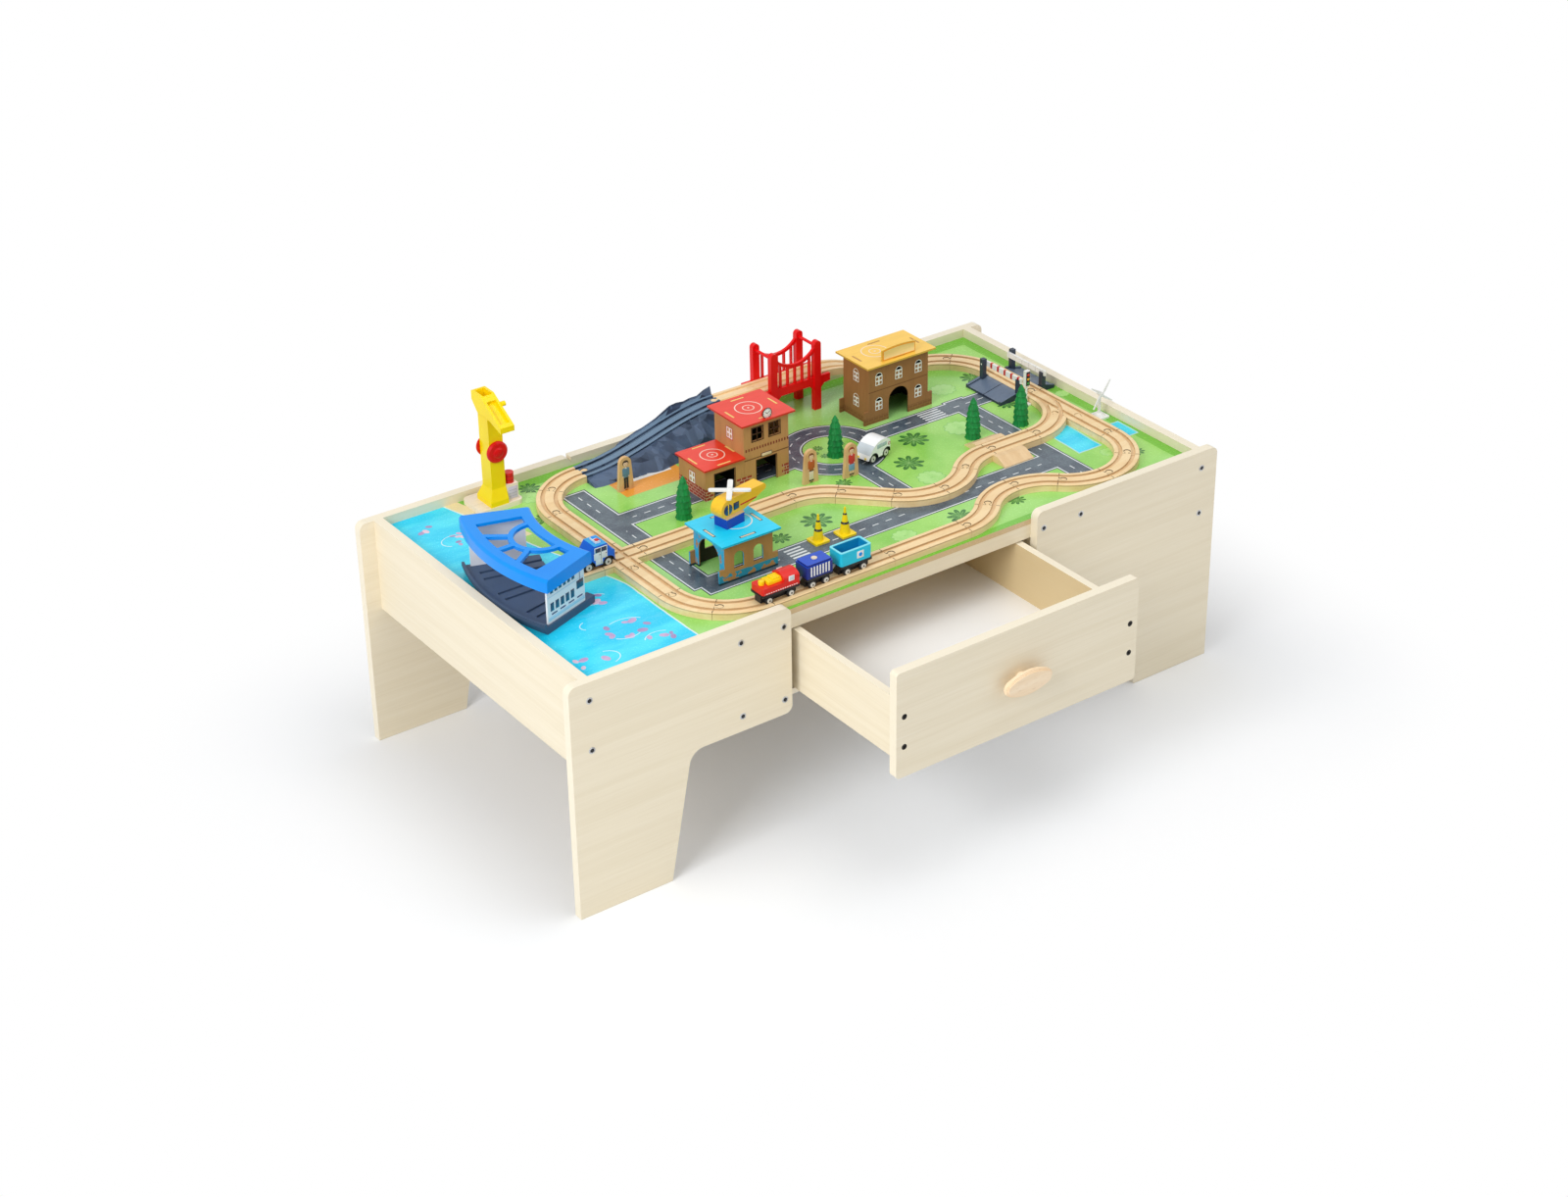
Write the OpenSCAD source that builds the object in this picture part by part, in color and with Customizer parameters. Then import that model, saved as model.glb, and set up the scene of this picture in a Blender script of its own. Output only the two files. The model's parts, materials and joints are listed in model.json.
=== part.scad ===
// Play table with a drawer, a wooden track layout and its play set. Millimetres, +Z up.
// The origin is on the floor, under the middle of the outline with the drawer open.

/* [Table] */
// Overall length of the table
table_l = 1200; // [1150:5:1300]
// Overall depth of the table
table_w = 600; // [580:5:680]
// Height of the rim above the floor
table_h = 380; // [360:5:460]
// Thickness of the wooden panels
panel_t = 15; // [12:1:18]
// Length of one leg panel
leg_panel_l = 371; // [350:1:385]
// Height of the leg panels' lower edge
wing_z = 205; // [190:1:215]
// Width of a leg at the floor
foot_w = 155; // [120:1:180]
// Width of a leg at the panel's lower edge
leg_top_w = 195; // [185:1:230]
// Radius of the panels' outer corners
corner_r = 12; // [4:1:20]
// Radius of the fillet between leg and panel
leg_fillet_r = 25; // [10:1:35]
// Distance of the end panels from the table's ends
end_inset = 25; // [15:1:35]
// Height of the end panels' lower edge
end_panel_z = 228; // [210:1:250]
// Height of the rim above the play board
rim_h = 15; // [8:1:25]
// Thickness of the play board
board_t = 9; // [6:1:12]
// Height of the rail over the drawer
rail_h = 23; // [15:1:30]
// Distance of the drawer guides from the leg panels' inner ends
guide_offset = 13; // [9:1:20]
// Distance between a drawer guide and the board rib beside it
rib_spacing = 74; // [40:1:90]
// Height of the supports' lower edge above the panels' lower edge
support_lift = 13; // [5:1:18]

/* [Bolts] */
// Diameter of a bolt head
bolt_head_d = 9; // [7:0.5:12]
// Depth of the bolt head's recess
bolt_head_h = 3; // [2:0.5:5]
// Diameter of a bolt shank
bolt_d = 4; // [3:0.5:6]
// Length of a bolt below its head
bolt_l = 36; // [25:1:50]
// Gap round the bolt heads and shanks
bolt_clear = 0.1; // [0.05:0.05:0.3]
// Height of the upper bolts below the board
bolt_top_drop = 5; // [5:1:20]
// Height of the lower bolts above the supports' lower edge
bolt_low_lift = 12; // [9:1:25]
// Height of the end panels' lower bolts above their lower edge
end_bolt_lift = 43; // [15:1:60]

/* [Drawer] */
// Distance the drawer stands open
drawer_out = 235; // [150:1:300]
// Gap between the drawer front and the leg panels
drawer_gap = 7; // [3:1:10]
// Gap of the drawer front above the lower edge and below the rim
drawer_front_gap = 2; // [1:0.5:4]
// Overhang of the drawer front beside the box
front_overhang = 8; // [4:1:20]
// Length of the drawer box from front to back
drawer_d = 400; // [360:5:440]
// Thickness of the drawer's sides and back
drawer_t = 12; // [9:1:15]
// Thickness of the drawer's bottom
drawer_bottom_t = 3; // [3:0.5:6]
// Height of the drawer bottom above the sides' lower edge
drawer_bottom_lift = 8; // [4:1:15]
// Height of the box above the panels' lower edge
drawer_lift = 27; // [24:1:35]
// Gap between the drawer sides and the rail
drawer_side_gap = 3; // [2:0.5:8]
// Height of a drawer runner
runner_h = 9; // [6:1:10]
// Gap between the drawer and its runners
runner_clear = 0.3; // [0.2:0.1:0.5]
// Length of the oval pull
pull_l = 85; // [60:1:110]
// Height of the oval pull
pull_h = 38; // [25:1:45]
// Thickness of the oval pull
pull_t = 11; // [8:1:16]
// Diameter of the pull's stem
pull_stem_d = 18; // [12:1:22]
// Length of the pull's stem
pull_stem_l = 12; // [8:1:20]

/* [Track] */
// Width of the track
track_w = 40; // [38:0.5:42]
// Height of the track
track_h = 12; // [11:0.5:14]
// Width of a groove
groove_w = 6.5; // [6:0.25:7]
// Depth of a groove
groove_d = 3; // [2:0.25:4]
// Distance between the grooves' middles
gauge = 20; // [19:0.5:21]
// Radius of a curve's middle line
curve_r = 100; // [95:1:106]
// Length of a full straight
straight_l = 144; // [120:1:160]
// Chamfer of the track's edges
track_chamfer = 1; // [0.5:0.1:1.5]
// Radius of a joint's round peg
peg_r = 5; // [4:0.25:5.5]
// Width of a peg's neck
neck_w = 5; // [4:0.25:6]
// Length of a peg's neck
neck_l = 8; // [7:0.5:10]
// Gap round a peg in its socket
peg_clear = 0.5; // [0.2:0.05:0.8]
// Gap between the end faces of two track pieces
joint_gap = 0.5; // [0.2:0.05:0.8]
// Length of the four-way crossing
cross_l = 72; // [66:1:80]
// Length of the switch
switch_l = 116; // [112:1:124]
// Distance of the left column from the board's left edge
shore_w = 219; // [212:1:225]
// Distance of the right column from the board's right edge
right_margin = 58; // [52:1:62]
// Distance of the front line from the board's front edge
front_margin = 27; // [24:1:30]
// Distance of the back line from the board's rear edge
back_margin = 45; // [42:1:50]
// Length of the left column's straight below the crossing
left_straight_l = 98; // [90:1:105]
// Length of the right column's first straight
right_straight_l = 72; // [62:1:76]
// Length of the slanted straight on the inner line
slant_l = 86.3; // [80:0.1:90]
// Length of the last straight on the inner line
inner_last_l = 92; // [80:1:100]

/* [Raised line] */
// Height of the raised track above the board
deck_h = 48; // [40:1:54]
// Length of the rock ramp
rock_l = 261; // [230:1:280]
// Width of the rock's foot in front of the track
rock_foot = 34; // [24:1:40]
// Height of the rock wall behind the raised track
rock_wall = 14; // [6:1:18]
// Length of the straight before the bridge
approach_l = 72; // [66:1:80]
// Length of the straight on the bridge
bridge_track_l = 120; // [114:1:130]
// Distance between the bridge's posts
post_spacing = 86; // [70:1:92]
// Width of a bridge post
post_w = 13; // [8:1:16]
// Thickness of the bridge's side frames
bridge_t = 9; // [8:0.5:12]
// Height of the bridge posts
post_h = 122; // [110:1:140]
// Thickness of the bridge deck under the track
bridge_deck_t = 4; // [3:0.5:6]
// Height of the bridge's side beams
beam_h = 14; // [10:1:18]
// Sag of the bridge's hanging rail
rail_sag = 22; // [14:1:26]
// Overhang of the side beams outside the posts
beam_over = 26; // [18:1:30]
// Gap between the track and the bridge's side frames
bridge_clear = 0.4; // [0.2:0.1:1]

/* [Shed] */
// Inner radius of the engine shed
shed_r1 = 215; // [205:1:220]
// Depth of the engine shed
shed_d = 115; // [105:1:118]
// Half of the shed's sweep angle
shed_half = 20.4; // [18:0.1:22]
// Height of the shed's deck
shed_deck_h = 12; // [11:0.5:14]
// Height of the base's outer lip above its deck
shed_lip_h = 6; // [3:0.5:9]
// Slope of the base's outer side
shed_flare = 6; // [3:0.5:9]
// Thickness of the shed's end walls
shed_wall_t = 3; // [2:0.5:5]
// Height of the shed's roof above the board
shed_h = 90; // [80:1:100]
// Depth of the roof's skirt
skirt_h = 20; // [14:1:26]
// Thickness of the roof
shed_roof_t = 5; // [4:0.5:7]
// Rounding of the roof's edges
shed_roof_r = 5; // [3:0.5:7]
// Distance that the roof keeps back from the inner end of the base
roof_back = 9; // [4:1:14]
// Width of the roof's ribs
roof_rib_w = 8; // [5:0.5:10]
// Angle between the shed's bays
bay_angle = 13; // [12:0.5:14]

/* [Crane] */
// Length of the crane's base plate
crane_plate_l = 76; // [74:1:84]
// Depth of the crane's base plate
crane_plate_w = 59; // [52:1:60]
// Thickness of the base plate
crane_plate_t = 8; // [6:0.5:10]
// Width of the tower
tower_w = 24; // [22:1:26]
// Depth of the tower
tower_d = 28; // [24:1:30]
// Height of the tower's top above the board
tower_h = 153; // [140:1:170]
// Widening of the tower's foot
foot_flare = 7; // [4:0.5:8]
// Height of the tower's foot
foot_h = 26; // [16:1:32]
// Height of the jib's housing
jib_h = 32; // [26:1:36]
// Reach of the jib from its pivot
jib_l = 52; // [44:1:64]
// Reach of the jib behind its pivot
jib_back = 30; // [20:1:32]
// Thickness of the jib's side walls
jib_wall = 4; // [3:0.5:6]
// Height of the jib's arm
arm_h = 9; // [8:0.5:12]
// Diameter of the jib's pivot
jib_pin_d = 12; // [8:0.5:14]
// Length of the jib's pivot
jib_pin_l = 12; // [8:0.5:13]
// Height of the winch above the board
winch_z = 96; // [80:1:110]
// Radius of a winch knob
knob_r = 17.5; // [12:0.5:20]
// Thickness of a winch knob
knob_t = 7; // [5:0.5:9]
// Diameter of the winch axle
winch_d = 6; // [4:0.5:8]
// Width of the loading block
block_w = 20; // [16:1:22]
// Height of the loading block
block_h = 27; // [20:1:32]
// Radius of the barrel on the block
barrel_r = 7.5; // [5:0.5:8]
// Height of the barrel
barrel_h = 17; // [12:1:22]

/* [Stations] */
// Thickness of the plywood walls and roofs
ply_t = 3; // [2.5:0.25:4]
// Length of a wall's tab through the roof
tab_l = 24; // [16:1:28]
// Gap round a tab in its slot
tab_clear = 0.2; // [0.1:0.05:0.4]
// Reach of the low wings beside the walls
wing_l = 9; // [5:0.5:12]
// Height of the low wings
wing_h = 24; // [16:1:30]
// Length of the red station's low part
red_low_l = 72; // [64:1:80]
// Length of the red station's tall part
red_tall_l = 84; // [76:1:92]
// Depth of the red station
red_w = 78; // [70:1:84]
// Height of the red station's low walls
red_low_h = 52; // [48:1:60]
// Height of the red station's tall walls
red_tall_h = 108; // [96:1:116]
// Width of the red station's garage doors
red_door_w = 38; // [34:1:42]
// Height of the red station's garage doors
red_door_h = 42; // [38:1:44]
// Width of the red station's windows
red_window_w = 20; // [16:1:24]
// Height of the red station's windows
red_window_h = 22; // [16:1:26]
// Distance between the red station's windows
red_window_pitch = 32; // [26:1:38]
// Overhang of the red roofs
red_over = 8; // [4:0.5:9]
// Radius of the clock on the red roof
clock_r = 9; // [6:0.5:12]
// Length of the blue station
blue_l = 86; // [78:1:92]
// Depth of the blue station
blue_w = 78; // [72:1:84]
// Height of the blue station's walls
blue_h = 64; // [60:1:72]
// Width of the blue station's passage
blue_door_w = 54; // [48:1:58]
// Overhang of the blue roof
blue_over = 9; // [4:0.5:10]
// Length of the yellow station
yellow_l = 120; // [110:1:126]
// Depth of the yellow station
yellow_w = 68; // [60:1:72]
// Height of the yellow station's walls
yellow_h = 102; // [94:1:110]
// Width of the yellow station's door
yellow_door_w = 40; // [34:1:44]
// Height of the yellow station's door
yellow_door_h = 52; // [46:1:56]
// Overhang of the yellow roof
yellow_over = 9; // [4:0.5:12]
// Length of the plain sign on the yellow roof
sign_l = 67; // [56:1:76]
// Height of the plain sign on the yellow roof
sign_h = 22; // [16:1:26]
// Rise of its arched top edge
sign_rise = 3; // [1:0.5:6]

/* [Places] */
// Distance of the engine shed's centre from the left column
shed_from_left = 113; // [108:1:118]
// Distance of the red station from the left column
red_from_left = 210; // [200:1:215]
// Distance of the red station behind the middle of its yard
red_shift = 4; // [0:1:8]
// Distance of the blue station from the left column
blue_from_left = 88; // [80:1:96]
// Distance of the blue station from the front line
blue_from_front = 88; // [80:1:92]
// Share of the free length between the red station and the level crossing that is left of the yellow one
yellow_share = 0.682; // [0.5:0.002:0.8]
// Distance of the yellow station from the raised line
yellow_from_back = 38; // [24:1:44]
// Distance of the white car's middle from the yellow station
car_from_yellow = 65; // [60:1:74]
// Distance of the white car's middle from the inner line
car_from_line = 42; // [40:1:54]
// Distance of the train's front from the end of the curve
train_start = 17; // [6:1:17]
// Distance of the patrol car's middle from the left line
patrol_from_line = 42; // [36:1:48]

/* [Crossing and signs] */
// Length of the level crossing along the track
crossing_l = 90; // [80:1:100]
// Width of the near crossing ramp
near_ramp_w = 42; // [36:1:48]
// Width of the far crossing ramp
far_ramp_w = 32; // [28:1:34]
// Height of a ramp's outer edge
ramp_lip = 4; // [3:0.5:6]
// Width of the kerb at each side of a ramp
ramp_kerb_w = 5; // [3:0.5:8]
// Height of the kerb above the ramp
ramp_kerb_h = 2; // [1:0.5:3]
// Gap between a ramp and the track
ramp_clear = 0.4; // [0.2:0.1:1]
// Side of a barrier post
barrier_post = 8; // [6:0.5:9]
// Height of the barriers' pivots above the board
barrier_z = 36; // [30:1:42]
// Length of a barrier from its pivot
barrier_l = 92; // [80:1:98]
// Height of a barrier arm
barrier_h = 9; // [6:0.5:11]
// Thickness of a barrier arm
barrier_t = 3.5; // [2.5:0.25:4]
// Diameter of a barrier's pivot
barrier_pin_d = 3; // [2:0.25:4]
// Height of the traffic light
light_h = 62; // [54:1:70]
// Width of the traffic light's box
light_w = 9; // [7:0.5:11]
// Side of a cone's foot
cone_foot = 26; // [20:1:30]
// Height of a cone
cone_h = 46; // [38:1:54]
// Length of a road ramp along the track
road_ramp_l = 58; // [50:1:66]
// Reach of a road ramp from the track
road_ramp_w = 30; // [24:1:30]

/* [Turbine and helicopter] */
// Height of the turbine's hub
hub_z = 42; // [36:1:50]
// Side of the turbine's foot
turbine_foot = 26; // [20:1:28]
// Length of a turbine blade
blade_l = 28; // [20:1:32]
// Diameter of the rotors' pivots
rotor_pin_d = 3; // [2:0.25:4]
// Length of the helicopter
heli_l = 100; // [90:1:108]
// Width of the helicopter's body
heli_w = 22; // [18:1:26]
// Height of the helicopter's body
heli_h = 30; // [24:1:34]
// Height of the helicopter's stand
heli_stand_h = 15; // [10:0.5:18]
// Diameter of the helicopter's rotor
heli_rotor_d = 62; // [50:1:70]

/* [Trees and figures] */
// Height of a tree
tree_h = 71; // [60:1:76]
// Radius of a tree's widest tier
tree_r = 13.5; // [10:0.5:15]
// Height of a figure
figure_h = 57; // [50:1:62]
// Width of a figure's board
figure_w = 28; // [24:1:30]
// Thickness of a figure's board
figure_t = 6; // [4:0.5:8]

/* [Vehicles] */
// Diameter of the wheels
wheel_d = 14; // [13:0.25:15]
// Width of a wheel
wheel_w = 5; // [4.5:0.25:5.5]
// Diameter of the axles
axle_d = 3; // [2:0.25:4]
// Gap round the axles and pivots
pivot_clear = 0.05; // [0.02:0.01:0.1]
// Gap between the side faces of turning pieces
slide_gap = 0.3; // [0.2:0.05:0.6]
// Gap between a wheel and what it runs on
roll_clear = 0.2; // [0.1:0.05:0.3]
// Width of the wagons' bodies
wagon_w = 30; // [26:1:34]
// Height of the wagons above their wheels' tops
wagon_h = 26; // [24:1:34]
// Height of the black chassis above the wheels' tops
chassis_h = 4; // [3:0.5:6]
// Length of the locomotive
loco_l = 64; // [62:1:70]
// Length of the box wagon
box_l = 46; // [42:1:52]
// Length of the hopper wagon
hopper_l = 56; // [52:1:62]
// Distance between the wagons
wagon_gap = 14; // [10:0.5:16]
// Distance between the two coupling magnets
magnet_gap = 0.3; // [0.2:0.1:0.6]
// Diameter of a coupling magnet
magnet_d = 8; // [6:0.5:10]
// Thickness of the hopper's walls
hopper_t = 3.5; // [2.5:0.25:5]
// Wheelbase of the locomotive
loco_base = 38; // [34:1:42]
// Wheelbase of the box wagon
box_base = 24; // [20:1:28]
// Wheelbase of the hopper wagon
hopper_base = 29; // [24:1:34]
// Length of the patrol car
patrol_l = 60; // [56:1:66]
// Wheelbase of the patrol car
patrol_base = 33; // [30:1:36]
// Height of its roof above the rails
patrol_h = 41; // [36:1:44]
// Height of its bonnet
bonnet_h = 27; // [24:1:30]
// Length of the white car
white_l = 56; // [54:1:60]
// Wheelbase of the white car
white_base = 31; // [28:1:34]
// Height of its roof
white_h = 36; // [32:1:38]
// Width of the cars
car_w = 30; // [26:1:32]
// Diameter of a car's wheel
car_wheel_d = 17; // [15:0.25:18]
// Gap round the wheel in its arch
arch_gap = 1.2; // [0.8:0.1:2]
// Height of the sill above the road
car_sill = 8; // [7:0.5:10]
// Corner radius of the body seen from above
car_round = 6; // [3:0.5:8]

/* [Hidden] */
$fn = 48;
eps = 0.01;
through = 1;

// Table levels and faces
shift_y = (drawer_out + pull_stem_l + pull_t) / 2;
board_z = table_h - rim_h;
board_under = board_z - board_t;
inner_y = table_w / 2 - panel_t;
board_half = table_l / 2 - end_inset - panel_t;
opening_half = table_l / 2 - leg_panel_l;
guide_x = opening_half + guide_offset;
rib_x = guide_x + rib_spacing;
support_z = wing_z + support_lift;
rail_z = board_under - rail_h;
bolt_top_z = board_under - bolt_top_drop;
bolt_low_z = support_z + bolt_low_lift;
end_low_z = end_panel_z + end_bolt_lift;
bolt_x = [table_l / 2 - end_inset - panel_t / 2, rib_x, guide_x];

// Drawer faces
front_half = opening_half - drawer_gap;
front_y = -table_w / 2 - drawer_out;
box_half = front_half - front_overhang;
box_front_y = front_y + panel_t;
box_z = wing_z + drawer_lift;
box_top = rail_z - drawer_side_gap;
bottom_z = box_z + drawer_bottom_lift;
pull_z = (wing_z + table_h) / 2;

// Track lines
left_x = -board_half + shore_w;
right_x = board_half - right_margin;
line_front = -inner_y + front_margin;
line_back = inner_y - back_margin;
cross_y = line_front + curve_r + left_straight_l + cross_l / 2;
bend = 45;
step_x = curve_r * sin(bend);
step_y = curve_r * (1 - cos(bend));
front_run = right_x - left_x - 2 * curve_r - 4 * step_x;
left_run = line_back - curve_r - cross_y - cross_l / 2;
right_run = line_back - line_front - 2 * curve_r - right_straight_l - switch_l;
inner_run = right_x - left_x - curve_r - cross_l / 2 - 4 * step_x - slant_l * cos(bend) - inner_last_l;
inner_y2 = cross_y - slant_l * sin(bend);
bend_x = left_x + cross_l / 2 + inner_run;
rock_x = left_x + curve_r;
rock_end = rock_x + rock_l;
raised_end = rock_end + approach_l + bridge_track_l;
slope_l = right_x - curve_r - raised_end;
bridge_x = rock_end + approach_l + bridge_track_l / 2 + 1;
shed_x = left_x + shed_from_left;
shed_r2 = shed_r1 + shed_d;
shed_track_l = left_x - cross_l / 2 - (shed_x - shed_r1);
least_straight = 24;

// A step of a route is [turn, length]: turn 0 is a straight, 1 and -1 are curves, 9 is left free
function run(l) = let (n = max(0, floor((l - least_straight) / straight_l)))
    concat([[0, l - n * straight_l]], [for (i = [1:1:n]) [0, straight_l]]);
function after(p, s) = abs(s[0]) != 1
    ? [p[0] + s[1] * cos(p[2]), p[1] + s[1] * sin(p[2]), p[2]]
    : let (h = p[2] + s[0] * bend)
      [p[0] + s[0] * curve_r * (sin(h) - sin(p[2])), p[1] - s[0] * curve_r * (cos(h) - cos(p[2])), h];
function walk(p, steps, i = 0) = i == len(steps) ? []
    : concat([[p, steps[i]]], walk(after(p, steps[i]), steps, i + 1));
left_curve = [1, 0];
right_curve = [-1, 0];
outer_route = walk([left_x, cross_y - cross_l / 2, -90], concat(
    [[0, left_straight_l], left_curve, left_curve], run(front_run),
    [left_curve, right_curve, right_curve, left_curve, left_curve, left_curve],
    [[0, right_straight_l], [9, switch_l], [0, right_run], left_curve, left_curve]));
return_route = walk([left_x, cross_y + cross_l / 2, 90], [[0, left_run], right_curve, right_curve]);
inner_route = walk([left_x + cross_l / 2, cross_y, 0], concat(run(inner_run),
    [right_curve, [0, slant_l], left_curve, left_curve, right_curve, [0, inner_last_l], left_curve]));
shed_route = walk([left_x - cross_l / 2, cross_y, 180], [[0, shed_track_l]]);
level_routes = concat(outer_route, return_route, inner_route, shed_route);
raised_route = walk([raised_end, line_back, 180], [[0, bridge_track_l], [0, approach_l]]);
switch_y = line_front + curve_r + right_straight_l;
crossing_y = switch_y + switch_l + right_run / 2;

// Stations: left front corner of each wall block
red_x = left_x + red_from_left;
red_y = (cross_y + line_back - rock_foot - red_w) / 2 + red_shift;
red_end = red_x + red_low_l + tab_clear + red_tall_l;
blue_x = left_x + blue_from_left;
blue_y = line_front + blue_from_front;
blue_end = blue_x + blue_l;
ramp_edge = right_x - track_w / 2 - ramp_clear - near_ramp_w;
yellow_x = red_end + yellow_share * (ramp_edge - red_end - yellow_l);
yellow_y = line_back - track_w / 2 - yellow_from_back - yellow_w;

// Vehicles on the track and on the board
track_floor = board_z + track_h - groove_d + roll_clear;
train_x = rock_x - train_start;
box_x = train_x + loco_l + wagon_gap;
hopper_x = box_x + box_l + wagon_gap;
patrol_x = left_x - patrol_from_line;
white_x = yellow_x - car_from_yellow;
white_y = cross_y + car_from_line;
white_turn = 13;
chassis_w = gauge - wheel_w - 1;
axle_track = gauge + wheel_w + 1;

// Places of the small scenery, each [x, y]
tree_places = [[red_x - 54, cross_y + 60], [(red_end + yellow_x) / 2 - 6, cross_y + 86],
    [right_x - 170, cross_y + 4], [right_x - 79, cross_y - 6]];
figure_places = [[red_x - 75, line_back - 75], [bend_x + 68, cross_y + 36], [bend_x + 130, cross_y + 15]];
cone_places = [[blue_end + 99, line_front + 111], [blue_end + 144, line_front + 105]];
light_place = [right_x - track_w / 2 - light_w * 0.8, crossing_y - crossing_l / 2 - 22];
turbine_place = [right_x + 38, cross_y - 63];
crane_place = [left_x - 49, line_back + 11.5];
heli_place = [blue_x + blue_l / 2 + 8, blue_y + blue_w / 2 + 10];
heli_turn = 11;

// Frames that carry the pieces
module table_frame() translate([0, shift_y, 0]) children();
module on_board(p, turn = 0) table_frame() translate([p[0], p[1], board_z]) rotate(turn) children();
module both_sides() for (s = [-1, 1]) scale_side(s) children();
module scale_side(s) if (s > 0) children(); else mirror([1, 0, 0]) children();

// A flat shape drawn as x and z, standing in the XZ plane with its thickness centred on y = 0
module upright(t) translate([0, t / 2, 0]) rotate([90, 0, 0]) linear_extrude(t) children();
// A flat shape drawn as y and z, standing in the YZ plane with its thickness centred on x = 0
module sideways(t) translate([-t / 2, 0, 0]) rotate([90, 0, 90]) linear_extrude(t) children();
module round_rect(l, w, r) {
    square([l - 2 * r, w], center = true);
    square([l, w - 2 * r], center = true);
    for (x = [-1, 1], y = [-1, 1]) translate([x * (l / 2 - r), y * (w / 2 - r)]) circle(r);
}
module arch(w, h) {
    translate([-w / 2, -through]) square([w, h - w / 2 + through]);
    translate([0, h - w / 2]) circle(w / 2);
}
module rod(d, l) rotate([-90, 0, 0]) cylinder(d = d, h = l);

// Outline of a leg panel, drawn from the table's end at x = 0 towards the middle
leg_lean = atan((leg_top_w - foot_w) / wing_z);
fillet_x = foot_w + (wing_z - leg_fillet_r) * tan(leg_lean) + leg_fillet_r / cos(leg_lean);
module leg_outline() {
    translate([0, wing_z + corner_r]) square([leg_panel_l, table_h - wing_z - 2 * corner_r]);
    translate([corner_r, wing_z]) square([leg_panel_l - 2 * corner_r, table_h - wing_z]);
    for (x = [corner_r, leg_panel_l - corner_r]) translate([x, table_h - corner_r]) circle(corner_r);
    translate([leg_panel_l - corner_r, wing_z + corner_r]) circle(corner_r);
    difference() {
        polygon([[0, 0], [foot_w, 0], [fillet_x - leg_fillet_r * cos(leg_lean),
            wing_z - leg_fillet_r * (1 - sin(leg_lean))], [fillet_x, wing_z], [fillet_x, wing_z + corner_r],
            [0, wing_z + corner_r]]);
        translate([fillet_x, wing_z - leg_fillet_r]) circle(leg_fillet_r);
    }
}

// Bolt places on a leg panel as [x, z], for the panel on the right
function bolt_points() = [for (i = [0:2])
    each [[bolt_x[i], bolt_top_z], [bolt_x[i], i == 0 ? end_low_z : bolt_low_z]]];
module bolt_shape(extra, lead = 0) {
    translate([0, -lead, 0]) rod(bolt_head_d + 2 * extra, bolt_head_h + lead);
    rod(bolt_d + 2 * extra, bolt_head_h + bolt_l + extra);
}
module bolt_holes() for (p = bolt_points())
    translate([p[0], -table_w / 2, p[1]]) bolt_shape(bolt_clear, eps);

// A front leg panel on the right; the other three are its mirror images
module leg_panel() difference() {
    translate([table_l / 2, -table_w / 2 + panel_t / 2, 0]) mirror([1, 0, 0])
        upright(panel_t) leg_outline();
    bolt_holes();
}
module rear_side() mirror([0, 1, 0]) children();
module left_side() mirror([1, 0, 0]) children();
module front_left_leg_panel() color("wheat") table_frame() left_side() leg_panel();
module front_right_leg_panel() color("wheat") table_frame() leg_panel();
module rear_left_leg_panel() color("wheat") table_frame() rear_side() left_side() leg_panel();
module rear_right_leg_panel() color("wheat") table_frame() rear_side() leg_panel();

module end_panels() color("wheat") table_frame() both_sides() difference() {
    translate([board_half, -inner_y, end_panel_z]) cube([panel_t, 2 * inner_y, table_h - end_panel_z]);
    bolt_holes();
    rear_side() bolt_holes();
}

module front_rail() color("wheat") table_frame()
    translate([-(guide_x - panel_t / 2), -inner_y, rail_z]) cube([2 * guide_x - panel_t, panel_t, rail_h]);

module rear_infill_panel() color("wheat") table_frame()
    translate([-opening_half, inner_y, wing_z]) cube([2 * opening_half, panel_t, table_h - wing_z]);

module play_board() color("yellowgreen") table_frame()
    translate([-board_half, -inner_y, board_under]) cube([2 * board_half, 2 * inner_y, board_t]);

// Two boards and a drawer runner on each side of the drawer
module board_supports() color("burlywood") table_frame() both_sides() {
    for (x = [guide_x, rib_x]) difference() {
        translate([x - panel_t / 2, -inner_y, support_z])
            cube([panel_t, 2 * inner_y, board_under - support_z]);
        bolt_holes();
        rear_side() bolt_holes();
    }
    translate([box_half - drawer_t, -inner_y, box_z - runner_clear - runner_h])
        cube([guide_x - panel_t / 2 - box_half + drawer_t, 2 * inner_y, runner_h]);
}

module panel_bolts() color("silver") table_frame() both_sides() for (side = [0, 1]) {
    mirror([0, side, 0]) for (p = bolt_points()) {
        translate([p[0], -table_w / 2, p[1]]) difference() {
            bolt_shape(0);
            translate([0, -eps, 0]) rotate([-90, 0, 0]) cylinder(d = bolt_d, h = bolt_head_h / 2, $fn = 6);
        }
    }
}

// The drawer, drawn open
screw_z = [box_z + (box_top - box_z) / 4, box_top - (box_top - box_z) / 4];
module screw_places() for (s = [-1, 1], z = screw_z) {
    translate([s * (box_half - drawer_t / 2), front_y, z]) children();
}
module drawer_front() color("wheat") table_frame() difference() {
    translate([0, front_y + panel_t / 2, pull_z]) upright(panel_t)
        round_rect(2 * front_half, table_h - wing_z - 2 * drawer_front_gap, corner_r / 2);
    screw_places() bolt_shape(bolt_clear, eps);
}
module drawer_box() color("wheat") table_frame() {
    both_sides() difference() {
        translate([box_half - drawer_t, box_front_y, box_z]) cube([drawer_t, drawer_d, box_top - box_z]);
        screw_places() bolt_shape(bolt_clear, eps);
    }
    translate([-(box_half - drawer_t), box_front_y + drawer_d - drawer_t, box_z])
        cube([2 * (box_half - drawer_t), drawer_t, box_top - box_z]);
}
module drawer_bottom() color("white") table_frame()
    translate([-(box_half - drawer_t), box_front_y, bottom_z])
        cube([2 * (box_half - drawer_t), drawer_d - drawer_t, drawer_bottom_t]);
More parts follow.
